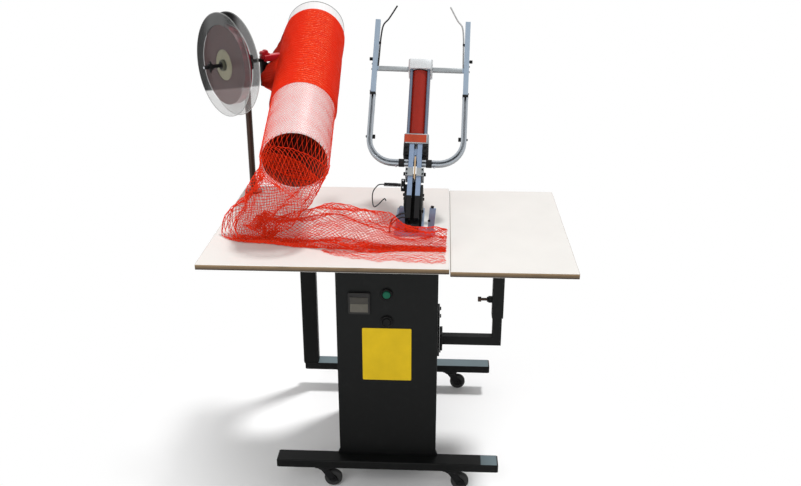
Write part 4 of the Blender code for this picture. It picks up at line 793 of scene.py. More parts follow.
class Machine:
    """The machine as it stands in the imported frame, and the way that pieces join it."""

    def __init__(self) -> None:
        """Find where the design frame lies: the left board's lowest corner tells."""
        self.origin = Matrix.Translation(SHIFT)
        self.head = self.origin @ at(0.064, 0.262, 0.78) @ turn(-40, "X") @ turn(1.5, "Y")
        self.tube = self.origin @ at(-0.223, 0.18, 0.953) @ turn(2.5, "Z") @ turn(19 - 90, "X")
        self.axle = self.origin @ at(-0.409, 0.541, 1.127) @ turn(43.5 - 90, "Z") @ turn(-90, "X")

    def add(self, name: str, shape: Shape, finish: Finish | Sequence[Finish], place: Matrix | None = None,
            body: str = "stand", replaces: Iterable[str] = (), sharp: float = 35) -> bpy.types.Object:
        """Turn a shape into a piece of the machine.

        Args:
            name: The piece's name.
            shape: Its mesh, which is freed.
            finish: Its finish, or several in the order of the faces' material numbers.
            place: The frame that the shape was made in; the design frame if left out.
            body: The CAD body that it rides on.
            replaces: The CAD nodes that it stands for.
            sharp: The angle in degrees over which an edge stays sharp.

        Returns:
            The new object.
        """
        finishes = [finish] if isinstance(finish, Finish) else list(finish)
        bmesh.ops.recalc_face_normals(shape.mesh, faces=shape.mesh.faces)
        shape.mesh.transform(place or self.origin)
        mesh = bpy.data.meshes.new(name)
        shape.mesh.to_mesh(mesh)
        shape.mesh.free()
        mesh.shade_smooth()
        mesh.set_sharp_from_angle(angle=math.radians(sharp))
        for one in finishes:
            mesh.materials.append(one.material())
        item = bpy.data.objects.new(name, mesh)
        return self.adopt(item, finishes[0], body, replaces)

    def adopt(self, item: bpy.types.Object, finish: Finish, body: str,
              replaces: Iterable[str] = ()) -> bpy.types.Object:
        """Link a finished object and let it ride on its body."""
        bpy.context.scene.collection.objects.link(item)
        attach(item, body)
        replaced = tuple(replaces)
        if replaced:
            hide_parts(*replaced)
        LOG.info("%s rides on %s and stands for %s", item.name, body, ", ".join(replaced) or "no solid")
        return item

    def paint(self, finish: Finish, *nodes: str, edge: float = 0.0) -> None:
        """Give CAD nodes a finish, and soften their edges by a width if asked."""
        for name in nodes:
            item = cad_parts[name]
            for place in item.material_slots:
                place.material = finish.material()
            if not item.material_slots:
                item.data.materials.append(finish.material())
            for kind, settings in self.softening(edge) if edge else ():
                modifier = item.modifiers.new(kind.lower(), kind)
                for key, value in settings.items():
                    setattr(modifier, key, value)
            LOG.info("%s has the finish %s", name, finish.name)

    @staticmethod
    def softening(width: float) -> tuple[tuple[str, dict[str, float | str]], ...]:
        """List the modifiers that join a solid's facets and round its edges by a width."""
        facets = {"decimate_type": "DISSOLVE", "angle_limit": math.radians(0.5)}
        edges = {"width": width, "segments": 2, "limit_method": "ANGLE", "angle_limit": math.radians(32)}
        return (("WELD", {"merge_threshold": 0.00002}), ("DECIMATE", facets), ("BEVEL", edges),
                ("WEIGHTED_NORMAL", {"keep_sharp": False}))


HEAD_TURN = (math.radians(-40), math.radians(1.5), 0.0)
PIPE_TURN = (math.radians(-71), 0.0, 0.044)
COAT = (0.0028, 0.0031, 0.0031)
BROWN = (0.13, 0.085, 0.043)
CHARCOAL = PowderCoat("charcoal_coat", "charcoal_paint", COAT, 0.42)
# Both beams carry a painted sheen of light on their tops; the front beam only at its right end.
FRONT_BEAM = PowderCoat("front_beam_coat", "charcoal_paint", COAT, 0.42, top=0.095, since=SHIFT.x + 0.258)
REAR_BEAM = PowderCoat("rear_beam_coat", "charcoal_paint", COAT, 0.42, top=0.095)
OXIDE = CastMetal("black_oxide", "black_steel", (0.005, 0.005, 0.0056), 0.5, 0.0, HEAD_TURN, shine=0.16)
LAMINATE = Laminate("white_board", "white_laminate", (0.77, 0.75, 0.715), 0.4)
EDGE = BoardEdge("brown_edge", "white_laminate", BROWN, 0.6)
LOW_EDGE = BoardEdge("brown_edge_low", "white_laminate", BROWN, 0.6, top=0.744)
BLUE_STEEL = GroundSteel("guide_steel", "blue_steel", (0.21, 0.28, 0.4), 0.3, 0.55, HEAD_TURN)
MAGAZINE_STEEL = GroundSteel("magazine_steel", "blue_steel", (0.27, 0.34, 0.42), 0.3, 0.55, HEAD_TURN)
ROD_STEEL = GroundSteel("rod_steel", "blue_steel", (0.13, 0.165, 0.225), 0.3, 0.6, HEAD_TURN)
TRACK_STEEL = GroundSteel("track_steel", "blue_steel", (0.33, 0.36, 0.39), 0.3, 0.75, HEAD_TURN)
BRIGHT_STEEL = GroundSteel("bright_steel", "blue_steel", (0.5, 0.52, 0.55), 0.28, 0.85)
ALUMINIUM = CastMetal("satin_aluminium", "cap_aluminium", (0.56, 0.58, 0.59), 0.45, 0.3, HEAD_TURN)
DULL_SILVER = CastMetal("dull_silver", "cap_aluminium", (0.27, 0.29, 0.3), 0.4, 0.5, HEAD_TURN)
RED_LACQUER = Lacquer("red_lacquer", "red_paint", (0.27, 0.012, 0.004), 0.3, 0.0, HEAD_TURN)
LABEL_RED = Lacquer("red_label", "red_paint", (0.38, 0.045, 0.014), 0.45, 0.0, HEAD_TURN)
YELLOW = Moulded("yellow_plate", "black_plastic", (0.62, 0.42, 0.012), 0.5, patch=0.05, shine=0.1)
BLACK_PLASTIC = Moulded("black_moulding", "black_plastic", (0.003, 0.003, 0.003), 0.4, shine=0.14)
GREEN_PLASTIC = Moulded("green_moulding", "green_plastic", (0.0, 0.085, 0.045), 0.35, shine=0.2)
TIMER_CASE = Moulded("timer_case", "timer_plastic", (0.0085, 0.008, 0.0075), 0.4)
TIMER_PANE = Moulded("timer_pane", "timer_plastic", (0.034, 0.031, 0.025), 0.25)
TIMER_PAD = Moulded("timer_pad", "timer_plastic", (0.09, 0.084, 0.068), 0.35)
CHROME = GroundSteel("dull_chrome", "chrome_rod", (0.042, 0.024, 0.017), 0.25, 0.7, tarnish=0.4)
RUBBER = Rubber("wheel_rubber", "wheel_rubber", (0.016, 0.016, 0.016), 0.65)
# Both flanges are clear plastic; their grey and their alpha are a painted reflection.
FRONT_FLANGE_REFLECTION = PaintedReflectionPlastic("front_flange_painted_reflection", "clear_plastic", (0.055, 0.052, 0.054), 0.12)
BACK_FLANGE_REFLECTION = PaintedReflectionPlastic("back_flange_painted_reflection", "clear_plastic", (0.05, 0.05, 0.052), 0.12, left=0.02,
                            right=0.07, side=0.045, clear=0.4)
WIRE = Moulded("black_wire", "black_plastic", (0.006, 0.006, 0.006), 0.35)
GREY_WIRE = Moulded("grey_wire", "blue_steel", (0.36, 0.37, 0.37), 0.35)
# The rim is the same white pipe plastic; its grey is painted shade.
RIM_SHADE = PipePlastic("tube_rim", "tube_pvc", (0.24, 0.25, 0.25), 0.3, 0.0, PIPE_TURN)
TAPE = WoundTape("wound_tape", "tape_maroon", (0.125, 0.052, 0.052), 0.5)
TAPE_RIM = WoundTape("tape_rim", "tape_maroon", (0.46, 0.022, 0.05), 0.4)
CREAM = Moulded("cream_hub", "hub_cream", (0.46, 0.43, 0.28), 0.35)
# The hub's bore is the same cream plastic; this dark colour is painted shade in it.
BEARING_SHADE = Moulded("hub_bearing", "hub_cream", (0.06, 0.062, 0.04), 0.4)
PIPE = PipePlastic("white_pipe", "tube_pvc", (0.86, 0.84, 0.835), 0.35, 0.0, PIPE_TURN)
# The pipe's inner wall is white plastic; this dark maroon is painted shade inside it, tinted by the red net
# in front of it.
PIPE_INSIDE_SHADE = PipePlastic("pipe_inside_painted_shade", "tube_pvc", (0.17, 0.036, 0.022), 0.55, 0.0, PIPE_TURN)
SADDLE_RED = Lacquer("saddle_lacquer", "saddle_red", (0.6, 0.024, 0.04), 0.3)
NET = NetStrand("net_strand", "net_orange", (0.9, 0.032, 0.006), 0.45)
SLEEVE = GatheredNet("gathered_net", "net_orange", (0.92, 0.026, 0.003), 0.55)
BRASS = GroundSteel("knife_brass", "knife_brass", (0.4, 0.32, 0.26), 0.3, 0.9, HEAD_TURN)
HOSE = Moulded("hose_rubber", "hose_black", (0.014, 0.014, 0.016), 0.45)


# Sub-assemblies


@dataclass
class Stand:
    """The foot beams, base frame and posts, with weld beads and end caps."""

    beam_half: float = 0.306
    beam_low: float = 0.07
    beam_high: float = 0.095
    beam_depth: float = 0.05
    front_y: float = 0.157
    rear_y: float = 0.703
    cap: float = 0.0016
    inset: float = 0.0012

    def build(self, machine: Machine) -> None:
        """Paint the stand and add its caps and beads."""
        machine.paint(CHARCOAL, "base_frame", "left_post", edge=0.0012)
        machine.paint(FRONT_BEAM, "front_foot_beam", edge=0.0012)
        machine.paint(REAR_BEAM, "rear_foot_beam", edge=0.0012)
        caps, beads, inset = Shape(), Shape(), self.inset
        for y in (self.front_y, self.rear_y):
            for side in (-1, 1):
                near, far = sorted((side * self.beam_half, side * (self.beam_half + self.cap)))
                caps.block((near, y + inset, self.beam_low + inset),
                           (far, y + self.beam_depth - inset, self.beam_high - inset), 0.0006)
        machine.add("foot_end_caps", caps, BLACK_PLASTIC)
        spots = [(x, y, z, 0.024) for x in (-0.1, 0.1) for y in (self.front_y + self.beam_depth, self.rear_y)
                 for z in (self.beam_low + 0.001, self.beam_high - 0.001)]
        spots += [(-0.287, self.rear_y + y, self.beam_high, 0.023) for y in (0.0005, 0.0295)]
        for x, y, z, half in spots:
            beads.plus(self.bead(Vector((x - half, y, z)), Vector((x + half, y, z))))
        machine.add("weld_beads", beads, CHARCOAL, sharp=60)

    @staticmethod
    def bead(start: Vector, end: Vector) -> Shape:
        """Make a weld bead with its ripples between two points."""
        count = max(8, int((end - start).length / 0.0012))
        path = [start.lerp(end, i / count) for i in range(count + 1)]
        return Shape.tube(path, lambda share: 0.0019 + 0.0003 * math.sin(share * count * 2.2), 8)


@dataclass
class Casters:
    """Four swivel casters: tyres, hubs, axle bolts and swivel races."""

    radius: float = 0.025
    trail: float = 0.025

    def build(self, machine: Machine) -> None:
        """Build the four casters."""
        for row, y in (("front", 0.182), ("rear", 0.728)):
            for side, x in (("left", -0.178), ("right", 0.178)):
                self.caster(machine, f"{row}_{side}", x, y)

    def caster(self, machine: Machine, corner: str, x: float, y: float) -> None:
        """Build one caster on its two bodies."""
        machine.paint(OXIDE, f"{corner}_fork", edge=0.0005)
        wheel, body = f"{corner}_wheel", f"{corner}_caster"
        axle = machine.origin @ at(x + self.trail, y, self.radius) @ turn(90, "X")
        flank = mm((12, -7.8), (13, -9), (20, -8.6), (22.8, -7.8), (24.3, -6), (24.9, -3.5))
        tyre = Shape.lathe(mirrored(flank, (self.radius, 0)), 72)
        machine.add(f"{corner}_tyre", tyre, RUBBER, axle, wheel, (wheel,))
        flank = mm((3.6, -8.8), (6.2, -8.8), (7, -7.6), (10.8, -6.8), (12.3, -7.8))
        machine.add(f"{corner}_hub", Shape.lathe(mirrored(flank), 48), BLACK_PLASTIC, axle, wheel)
        ends = [turn(way, "X") @ at(0, 0, 0.0126) for way in (0, 180)]
        bolts = Shape().fasten(Fastener.HEX, 0.005, 0.003, ends)
        machine.add(f"{corner}_axle_bolt", bolts, OXIDE, axle, body)
        race = mm((12.5, 58), (19.5, 58.6), (21.2, 60.4), (21.2, 63), (19.6, 65.2), (16, 66), (12.5, 66))
        machine.add(f"{corner}_swivel_race", Shape.lathe(race, 48), OXIDE, machine.origin @ at(x, y, 0), body)


@dataclass
class Cabinet:
    """The sheet cabinet with its rear cover, foot flange, bare yellow plate and bolts."""

    half: float = 0.134
    front: float = 0.196
    back: float = 0.6
    low: float = 0.0955

    def build(self, machine: Machine) -> None:
        """Paint the shell and add its trim."""
        machine.paint(CHARCOAL, "cabinet_shell", edge=0.0011)
        machine.paint(CHARCOAL, "rear_cover", "side_bracket", edge=0.0008)
        flange = Shape()
        for side in (-1, 1):
            corners = mm((0, 0), (5, 0), (5, 2), (0, 14))
            rise = [(side * (self.half + out), self.low + up) for out, up in corners]
            flange.plus(Shape.prism(rise, self.front + 0.002, self.front + 0.01, Axis.Y).bevelled(0.0004))
        machine.add("foot_flange", flange, CHARCOAL)
        outline = rounded(-0.066, 0.335, 0.065, 0.491, 0.003)
        plate = Shape.prism(outline, self.front - 0.0009, self.front - 0.0001, Axis.Y).bevelled(0.0002, 1)
        machine.add("yellow_plate", plate, YELLOW)
        middle = 0.415
        spots = [at(x, self.back + 0.0018, z) @ turn(-90, "X") for x in (-0.118, 0.0, 0.118)
                 for z in (middle - 0.303, middle, middle + 0.303) if x or z != middle]
        screws = Shape().fasten(Fastener.PAN, 0.0038, 0.0022, spots)
        screws.fasten(Fastener.HEX, 0.0045, 0.003, [at(self.half + 0.0003, 0.3, 0.392) @ turn(90, "Y")])
        machine.add("cover_screws", screws, BRIGHT_STEEL)
        spots = [at(self.half + 0.0056, y, z) @ turn(90, "Y") for y in (0.267, 0.313) for z in (0.389, 0.496)]
        machine.add("bracket_bolts", Shape().fasten(Fastener.HEX, 0.005, 0.0035, spots), OXIDE)


@dataclass
class Panel:
    """The timer and the two push buttons."""

    front: float = 0.196
    timer: Triple = (-0.0725, 0.057, 0.051)
    timer_z: float = 0.56
    green_z: float = 0.591
    black_z: float = 0.512
    proud: float = 0.008
    # A dark band on the timer case's top, standing for its top face and painted shade above it.
    top_and_shade_band: float = 0.01

    def build(self, machine: Machine) -> None:
        """Build the timer and buttons."""
        self.build_timer(machine)
        self.button(machine, "green", GREEN_PLASTIC, self.green_z)
        self.button(machine, "black", BLACK_PLASTIC, self.black_z)

    def build_timer(self, machine: Machine) -> None:
        """Build the timer's case with its window and key pad."""
        x, width, height = self.timer
        w, h = width / 2, height / 2
        place = machine.origin @ at(x, self.front, self.timer_z)
        # The case reaches up by that band, whose dark colour partly stands for painted shade.
        case = Shape.prism(rounded(-w, -h, w, h + self.top_and_shade_band, 0.004), -self.proud, -0.0004, Axis.Y)
        face = min(case.mesh.faces, key=lambda one: one.calc_center_median().y)
        bmesh.ops.inset_region(case.mesh, faces=[face], thickness=0.0045, depth=0)
        bmesh.ops.translate(case.mesh, vec=(0, 0.0022, 0), verts=face.verts)
        case.bevelled(0.0009, 2)
        case.block((-0.0225, -0.004, -0.0225), (0.0225, 0.06, 0.0225), 0.001)
        machine.add("timer_case", case, TIMER_CASE, place, replaces=("timer",))
        inner, level = w - 0.005, 0.0012 - self.proud
        pane = Shape().block((-inner, level, 0.004), (inner, level + 0.0014, h - 0.003), 0.0004)
        machine.add("timer_window", pane, TIMER_PANE, place)
        pad = Shape().block((-inner, level + 0.0003, 0.005 - h), (inner, level + 0.0014, 0.0034), 0.0004)
        machine.add("timer_pad", pad, TIMER_PAD, place)

    def button(self, machine: Machine, name: str, finish: Finish, height: float) -> None:
        """Build one push button with its bezel and threaded neck."""
        place = machine.origin @ at(0.0, self.front, height) @ turn(90, "X")
        # The ring reaches out to 16.5 mm, wider than the bezel; its black rim stands for a guard ring and
        # painted shade round it.
        ring = mm((10.55, -18), (11, -18), (11, 0.3), (16.5, 0.3), (16.5, 3), (16, 4.8), (14.8, 6.2),
                  (13.2, 6.8), (11.8, 6.4), (10.55, 5))
        machine.add(f"{name}_ring", Shape.lathe(ring, 72), BLACK_PLASTIC, place, replaces=(f"{name}_bezel",))
        cap = mm((0, -15.5), (10.25, -15.5), (10.25, 6), (10, 7.3), (9.3, 8.1), (8, 8.5), (6, 8.3), (3, 8),
                 (0, 7.9))
        machine.add(f"{name}_cap", Shape.lathe(cap, 72), finish, place, f"{name}_button", (f"{name}_button",))


@dataclass
class Table:
    """The two boards with their edge bands, and the sliding arm under the right one."""

    depth: float = 0.6
    thickness: float = 0.015
    band: float = 0.0003

    def build(self, machine: Machine) -> None:
        """Finish the boards and the arm that carries the right one."""
        machine.paint(LAMINATE, "left_board", "right_board", edge=0.0004)
        self.build_band(machine, "left", -0.441, 0.159, 0.75, EDGE, "stand")
        self.build_band(machine, "right", 0.162, 0.462, 0.744, LOW_EDGE, "right_table")
        machine.paint(CHARCOAL, "right_arm", "outer_tube", edge=0.0009)
        machine.paint(CHROME, "clamp_screw", edge=0.0004)
        x, y, apart = 0.296, 0.29, 0.035
        drop = machine.origin @ at(x - 0.0254, y, 0.5377) @ turn(-90, "Y")
        nut = Shape.fastener(Fastener.HEX, 0.0072, 0.0045)
        machine.add("clamp_lock_nut", nut, OXIDE, drop, "right_table")
        spots = [at(x + a, y + b, 0.7237) @ turn(180, "X") for a in (-apart, apart) for b in (-apart, apart)]
        screws = Shape().fasten(Fastener.PAN, 0.004, 0.0022, spots)
        machine.add("flange_screws", screws, BRIGHT_STEEL, body="right_table")

    def build_band(self, machine: Machine, name: str, left: float, right: float, top: float, finish: Finish,
                   body: str) -> None:
        """Build the brown band round one board's edge."""
        low, high, out = top - self.thickness + 0.0014, top - 0.0015, self.band
        made = Shape()
        mesh, far = made.mesh, self.depth + out
        points = [mesh.verts.new((x, y, low)) for x, y in ((left - out, -out), (right + out, -out),
                                                           (right + out, far), (left - out, far))]
        edges = [mesh.edges.new((a, b)) for a, b in zip(points, points[1:] + points[:1])]
        made.raised(edges, high - low)
        rises = [(edge, abs(edge.verts[0].co.z - edge.verts[1].co.z)) for edge in mesh.edges]
        corners = [edge for edge, rise in rises if rise > self.thickness / 2]
        bmesh.ops.bevel(mesh, geom=corners, offset=0.0016, offset_type="OFFSET", segments=3, profile=0.5,
                        affect="EDGES", material=-1)
        bmesh.ops.recalc_face_normals(mesh, faces=mesh.faces)
        bmesh.ops.solidify(mesh, geom=mesh.faces[:], thickness=0.0008)
        machine.add(f"{name}_edge_band", made, finish, body=body)


@dataclass
class TapeReel:
    """The pole, its clamp, the axle, and the tape reel with its clear flanges, which carry a painted
    reflection.
    """

    offset: float = -0.057
    middle: float = 0.012
    tape: float = 0.107
    hub: float = 0.042

    def build(self, machine: Machine) -> None:
        """Build everything that the pole carries on its left side."""
        machine.paint(CHROME, "pole", edge=0.0005)
        machine.paint(OXIDE, "arm_clamp", "reel_axle", edge=0.0006)
        place = machine.axle @ at(0, 0, self.offset)
        disc = mm((15.6, -2.9), (139.2, -2.9), (140, -2.2), (140, -0.8), (139.2, 0), (15.6, 0))
        front = Shape.lathe(disc, 128).moved(at(0, 0, -self.middle - 0.0001)).map(self.on_disc)
        machine.add("front_flange_disc", front, FRONT_FLANGE_REFLECTION, place, "reel", ("reel_front_flange",))
        disc = mm((42, 0.2), (139.2, 0.2), (140, 1), (140, 2.4), (139.2, 3.1), (42, 3.1))
        back = Shape.lathe(disc, 128).moved(at(0, 0, self.middle)).map(self.on_disc)
        machine.add("back_flange_disc", back, BACK_FLANGE_REFLECTION, place, "reel")
        core = mm((15, -10.5), (16.2, -11.7), (39, -11.7), (39.6, -10.5), (41, -10.5), (41.8, -9.7),
                  (41.8, 14.9), (19, 14.9), (18, 18.4), (15, 18.9))
        machine.add("reel_core", Shape.lathe(core, 96), CREAM, place, "reel", ("reel_spool",))
        # The bearing lining in the hub's bore takes a painted shade.
        bearing = mm((5.5, -18.9), (7.9, -18.9), (8.5, -17.9), (12.2, -17.5), (13, -18.5), (14.4, -18.5),
                     (15, -17.7), (15, 18.7), (5.5, 18.7))
        machine.add("hub_bearing", Shape.lathe(bearing, 64), BEARING_SHADE, place, "reel")
        machine.add("tape_turns", self.wound(), (TAPE, TAPE_RIM), place, "reel", ("tape_roll",))
        self.build_axle(machine)
        self.build_saddle(machine)
        foot = at(-0.409, 0.541, 0.7563)
        spots = [foot @ turn(120 * step + 20, "Z") @ at(0.0195, 0, 0) for step in range(3)]
        machine.add("pole_screws", Shape().fasten(Fastener.PAN, 0.0032, 0.0019, spots), BRIGHT_STEEL)

    @staticmethod
    def on_disc(co: Vector) -> Pair:
        """Return the place on a flange, across and up."""
        return co.x, -co.y

    @staticmethod
    def build_axle(machine: Machine) -> None:
        """Add the bright end of the axle and the washers beside the hub."""
        tip = mm((0, -129.6), (2.4, -129.6), (3.2, -129), (3.2, -128), (0, -128))
        machine.add("axle_tip", Shape.lathe(tip, 32), BRIGHT_STEEL, machine.axle)
        washers = Shape()
        for level in (-0.078, -0.037):
            outline = mm((5.2, 0), (9, 0), (9.4, 0.4), (9.4, 1), (9, 1.4), (5.2, 1.4))
            washers.plus(Shape.lathe([(radius, level + up) for radius, up in outline], 48))
        machine.add("axle_washers", washers, OXIDE, machine.axle)

    @staticmethod
    def build_saddle(machine: Machine) -> None:
        """Build the saddle: a black bracket that runs to the tube, and a glossy red clamp with a knob."""
        outline = mm((3, 50), (3, 62), (14, 70), (-2, 128), (24, 128), (62, 95), (74, 50))
        bracket = Shape.prism(outline, -0.0085, 0.0085, Axis.X).bevelled(0.001)
        machine.add("saddle_bracket", bracket, BLACK_PLASTIC, machine.axle, replaces=("tube_saddle",))
        clamp = Shape.box((-0.012, -0.0125, 0.056), (0.012, 0.005, 0.128)).bevelled(0.0022, 3)
        knob, across, lower = at(0, -0.0125, 0.0625), turn(90, "Y"), mm((0, -8), (4.5, -8), (6.4, -6))
        for step in range(5):
            lobe = Shape.lathe(mirrored(lower, (0.007, 0)), 24)
            clamp.plus(lobe.moved(knob @ turn(72 * step, "X") @ at(0, 0, 0.0085) @ across))
        clamp.plus(Shape.rod(0.0095, -0.0074, 0.0074).bevelled(0.0012).moved(knob @ across))
        machine.add("saddle_clamp", clamp, SADDLE_RED, machine.axle)
        head = Shape().fasten(Fastener.SOCKET, 0.004, 0.003, [at(-0.0075, 0, 0) @ knob @ turn(-90, "Y")])
        machine.add("saddle_screw", head, OXIDE, machine.axle)

    def wound(self) -> Shape:
        """Wind the tape: each group of turns stands a little further in or out than the last."""
        stray, steps, inner, edge = random.Random(7), 30, self.hub + 0.0004, self.middle - 0.0006
        radii = [inner + (self.tape - inner) * i / steps for i in range(steps + 1)]
        near = [(radius, -edge + stray.uniform(0, 0.0005)) for radius in radii]
        far = [(radius, edge - stray.uniform(0, 0.0005)) for radius in radii]
        made = Shape.lathe(near + far[::-1], 112)
        for face in made.mesh.faces:
            centre = face.calc_center_median()
            if math.hypot(centre.x, centre.y) > self.tape - 0.0008:
                face.material_index = 1
        return made


@dataclass
class NetTube:
    """The wide plastic tube, the net gathered on it and the plain skirt of net near its mouth."""

    radius: float = 0.085
    wall: float = 0.004
    length: float = 0.696
    start: float = 0.229
    end: float = 0.646
    lip: float = 0.0014

    def build(self, machine: Machine) -> None:
        """Build the tube and both parts of the net on it."""
        outer, inner, length, lip = self.radius, self.radius - self.wall, self.length, self.lip
        ease = lip * 0.3
        outline = [(inner + ease, ease), (inner + lip, 0), (outer - lip, 0), (outer - ease, ease),
                   (outer, lip), (outer, length - lip), (outer - lip, length), (inner + lip, length),
                   (inner, length - lip), (inner, lip)]
        tube = Shape.lathe(outline, 128)
        # The inner wall gets the pipe's painted-shade finish.
        for face in tube.mesh.faces:
            centre = face.calc_center_median()
            if math.hypot(centre.x, centre.y) < inner + 0.0008 and 0.004 < centre.z:
                face.material_index = 1
        machine.add("tube_wall", tube, (PIPE, PIPE_INSIDE_SHADE), machine.tube, replaces=("net_tube",))
        # The rim ring's grey finish is painted shade on the white pipe's end.
        rim = mm((85.1, 692.4), (85.8, 693), (85.8, 695.4), (84.6, 696.4), (82, 696.4), (83.8, 692.4))
        machine.add("tube_rim", Shape.lathe(rim, 128), RIM_SHADE, machine.tube)
        machine.add("sleeve_folds", self.folds(), SLEEVE, machine.tube, replaces=("net_sleeve",), sharp=80)
        skirt = Shape.netting(self.on_tube, 84, 50, 0.0007, slack=0.0004, seed=5)
        piece = machine.add("skirt_net", skirt, NET, machine.tube, sharp=60)

    @staticmethod
    def ring(angle: float, radius: float, level: float) -> Vector:
        """Return the point at an angle round the tube, a radius and a level."""
        return Vector((radius * math.cos(angle), radius * math.sin(angle), level))

    def on_tube(self, around: float, along: float) -> Vector:
        """Return the point of the skirt at a share round and along the tube."""
        angle = math.tau * (around + 0.01 * ripple(5 * along, 6 * around))
        return self.ring(angle, self.radius + 0.0009, -0.0012 + (self.start + 0.012) * along)

    def folds(self) -> Shape:
        """Make the gathered part: ribs round the tube that wander, pile up and hang out on the left."""
        columns, rows = 180, 230
        made = Shape.skin([[self.fold_point(math.tau * i / columns, j / rows) for i in range(columns)]
                           for j in range(rows + 1)])
        made.map(lambda co: (math.atan2(co.y, co.x) * self.radius, co.z))
        bmesh.ops.recalc_face_normals(made.mesh, faces=made.mesh.faces)
        bmesh.ops.solidify(made.mesh, geom=made.mesh.faces[:], thickness=0.001)
        return made

    def fold_point(self, angle: float, share: float) -> Vector:
        """Return one point of the gathered net."""
        level = self.start + (self.end - self.start) * share
        x, y = math.cos(angle), math.sin(angle)
        wander = 0.1 * ripple(2 * x, 9 * share, 2.0) + 0.05 * ripple(3 * y, 4 * share, 5.0)
        rib = 0.5 + 0.5 * math.sin(math.tau * (76 * share + 4 * wander))
        build = min(1.0, share / 0.03, (1 - share) / 0.03)
        body = 0.0026 + 0.0012 * ripple(3 * x, 5 * share, 1.0)
        height = build * (body + 0.0013 * rib) + self.flap(angle, share)
        return self.ring(angle, self.radius + 0.0012 + max(0.0, height), level)

    @staticmethod
    def flap(angle: float, share: float) -> float:
        """Return how far the loose pleat of net stands off on the tube's left side."""
        away = (angle - math.pi * (1.04 + 0.02 * ripple(4 * share, 0.0, 3.0))) / 0.15
        if abs(away) > 3:
            return 0.0
        low = min(1.0, max(0.0, (share - 0.24) / 0.05))
        high = min(1.0, max(0.0, (1.0 - share) / 0.62))
        size = 0.035 + 0.003 * math.sin(21 * share) + 0.002 * math.sin(57 * share)
        return size * math.exp(-away * away) * eased(low) * high


@dataclass
class NetTail:
    """The net's plain body: from the tube's rim down to the table and across it to the clipping head."""

    board: float = 0.75
    base_front: float = 0.205
    strand: float = 0.0018
    twist: float = 1.2
    steps: int = 6

    @staticmethod
    def stations() -> list[tuple[Vector, float, float]]:
        """List the middle of the bunch, and its half width and half height, from the rim on."""
        table = mm((-223, 180, 953, 86.2, 86.2), (-230, 168, 934, 83, 74), (-252, 176, 896, 74, 52),
                   (-288, 184, 850, 63, 42), (-322, 190, 808, 58, 34), (-350, 188, 778, 56, 24),
                   (-330, 176, 765, 54, 16), (-270, 168, 764, 50, 15), (-200, 158, 776, 48, 24),
                   (-130, 150, 792, 50, 40), (-65, 142, 786, 52, 34), (-10, 132, 774, 48, 22),
                   (40, 128, 765, 38, 14), (95, 126, 761, 34, 10), (152, 124, 759, 36, 9))
        return [(Vector((x, y, z)), wide, high) for x, y, z, wide, high in table]

    def build(self, machine: Machine) -> None:
        """Build the hanging and lying net and the thin spread in front of it."""
        stations = self.stations()
        self.route = smooth_route([place for place, _, _ in stations], self.steps)
        self.sizes = [Vector((wide, high)) for _, wide, high in stations]
        tube = (machine.origin.inverted() @ machine.tube).to_3x3()
        heading, side = tube @ Vector((0, 0, -1)), tube @ Vector((1, 0, 0))
        self.frames = []
        for index in range(len(self.route)):
            before, after = self.route[max(index - 1, 0)], self.route[min(index + 1, len(self.route) - 1)]
            ahead = (after - before).normalized() if index else heading
            side, heading = (heading.rotation_difference(ahead) @ side).normalized(), ahead
            self.frames.append((side, side.cross(ahead).normalized() * -1))
        net = Shape.netting(self.point, 44, 150, self.strand, slack=0.001, seed=3)
        piece = machine.add("net_bunch", net, NET, replaces=("net_tail",), sharp=60)
        spread = Shape.netting(self.spread, 11, 46, 0.0009, closed=False, slack=0.0014, seed=9)
        piece = machine.add("net_spread", spread, NET, sharp=60)

    def point(self, around: float, along: float) -> Vector:
        """Return the point of the bunch at a share round and along."""
        share = along * (len(self.route) - 1)
        index = min(int(share), len(self.route) - 2)
        rest = share - index
        centre = self.route[index].lerp(self.route[index + 1], rest)
        side, rise = (one.lerp(two, rest).normalized() for one, two in zip(*self.frames[index:index + 2]))
        station = share / self.steps
        low = min(int(station), len(self.sizes) - 2)
        wide, high = self.sizes[low].lerp(self.sizes[low + 1], eased(station - low))
        angle = math.tau * around - self.twist * eased(min(1.0, along / 0.16))
        slack = min(1.0, max(0.0, (along - 0.05) / 0.18))
        fold = 1 + slack * (0.2 * math.sin(3 * angle + 9 * along) + 0.13 * math.sin(5 * angle - 23 * along)
                            + 0.1 * math.sin(8 * angle + 31 * along))
        point = centre + side * (wide * fold * math.cos(angle)) + rise * (high * fold * math.sin(angle))
        point.z = max(point.z, self.board + 0.0014 + 0.0008 * (1 + ripple(60 * point.x, 50 * point.y)))
        if point.x > 0.01:
            point.y = min(point.y, self.base_front - 0.0022)
        return point

    def spread(self, around: float, along: float) -> Vector:
        """Return the point of the thin spread layer at a share across and along."""
        front = 0.026 + 0.055 * (1 - along) ** 3 + 0.01 * ripple(6 * along, 0.0)
        back = 0.112 + 0.006 * ripple(7 * along, 1.0)
        lift = 0.009 * (1 - around) ** 3 + 0.0007 * (1 + ripple(9 * along, 6 * around))
        x = -0.15 + 0.3 * along + 0.004 * ripple(4 * around, 6 * along)
        return Vector((x, back + (front - back) * around, self.board + 0.0012 + lift))


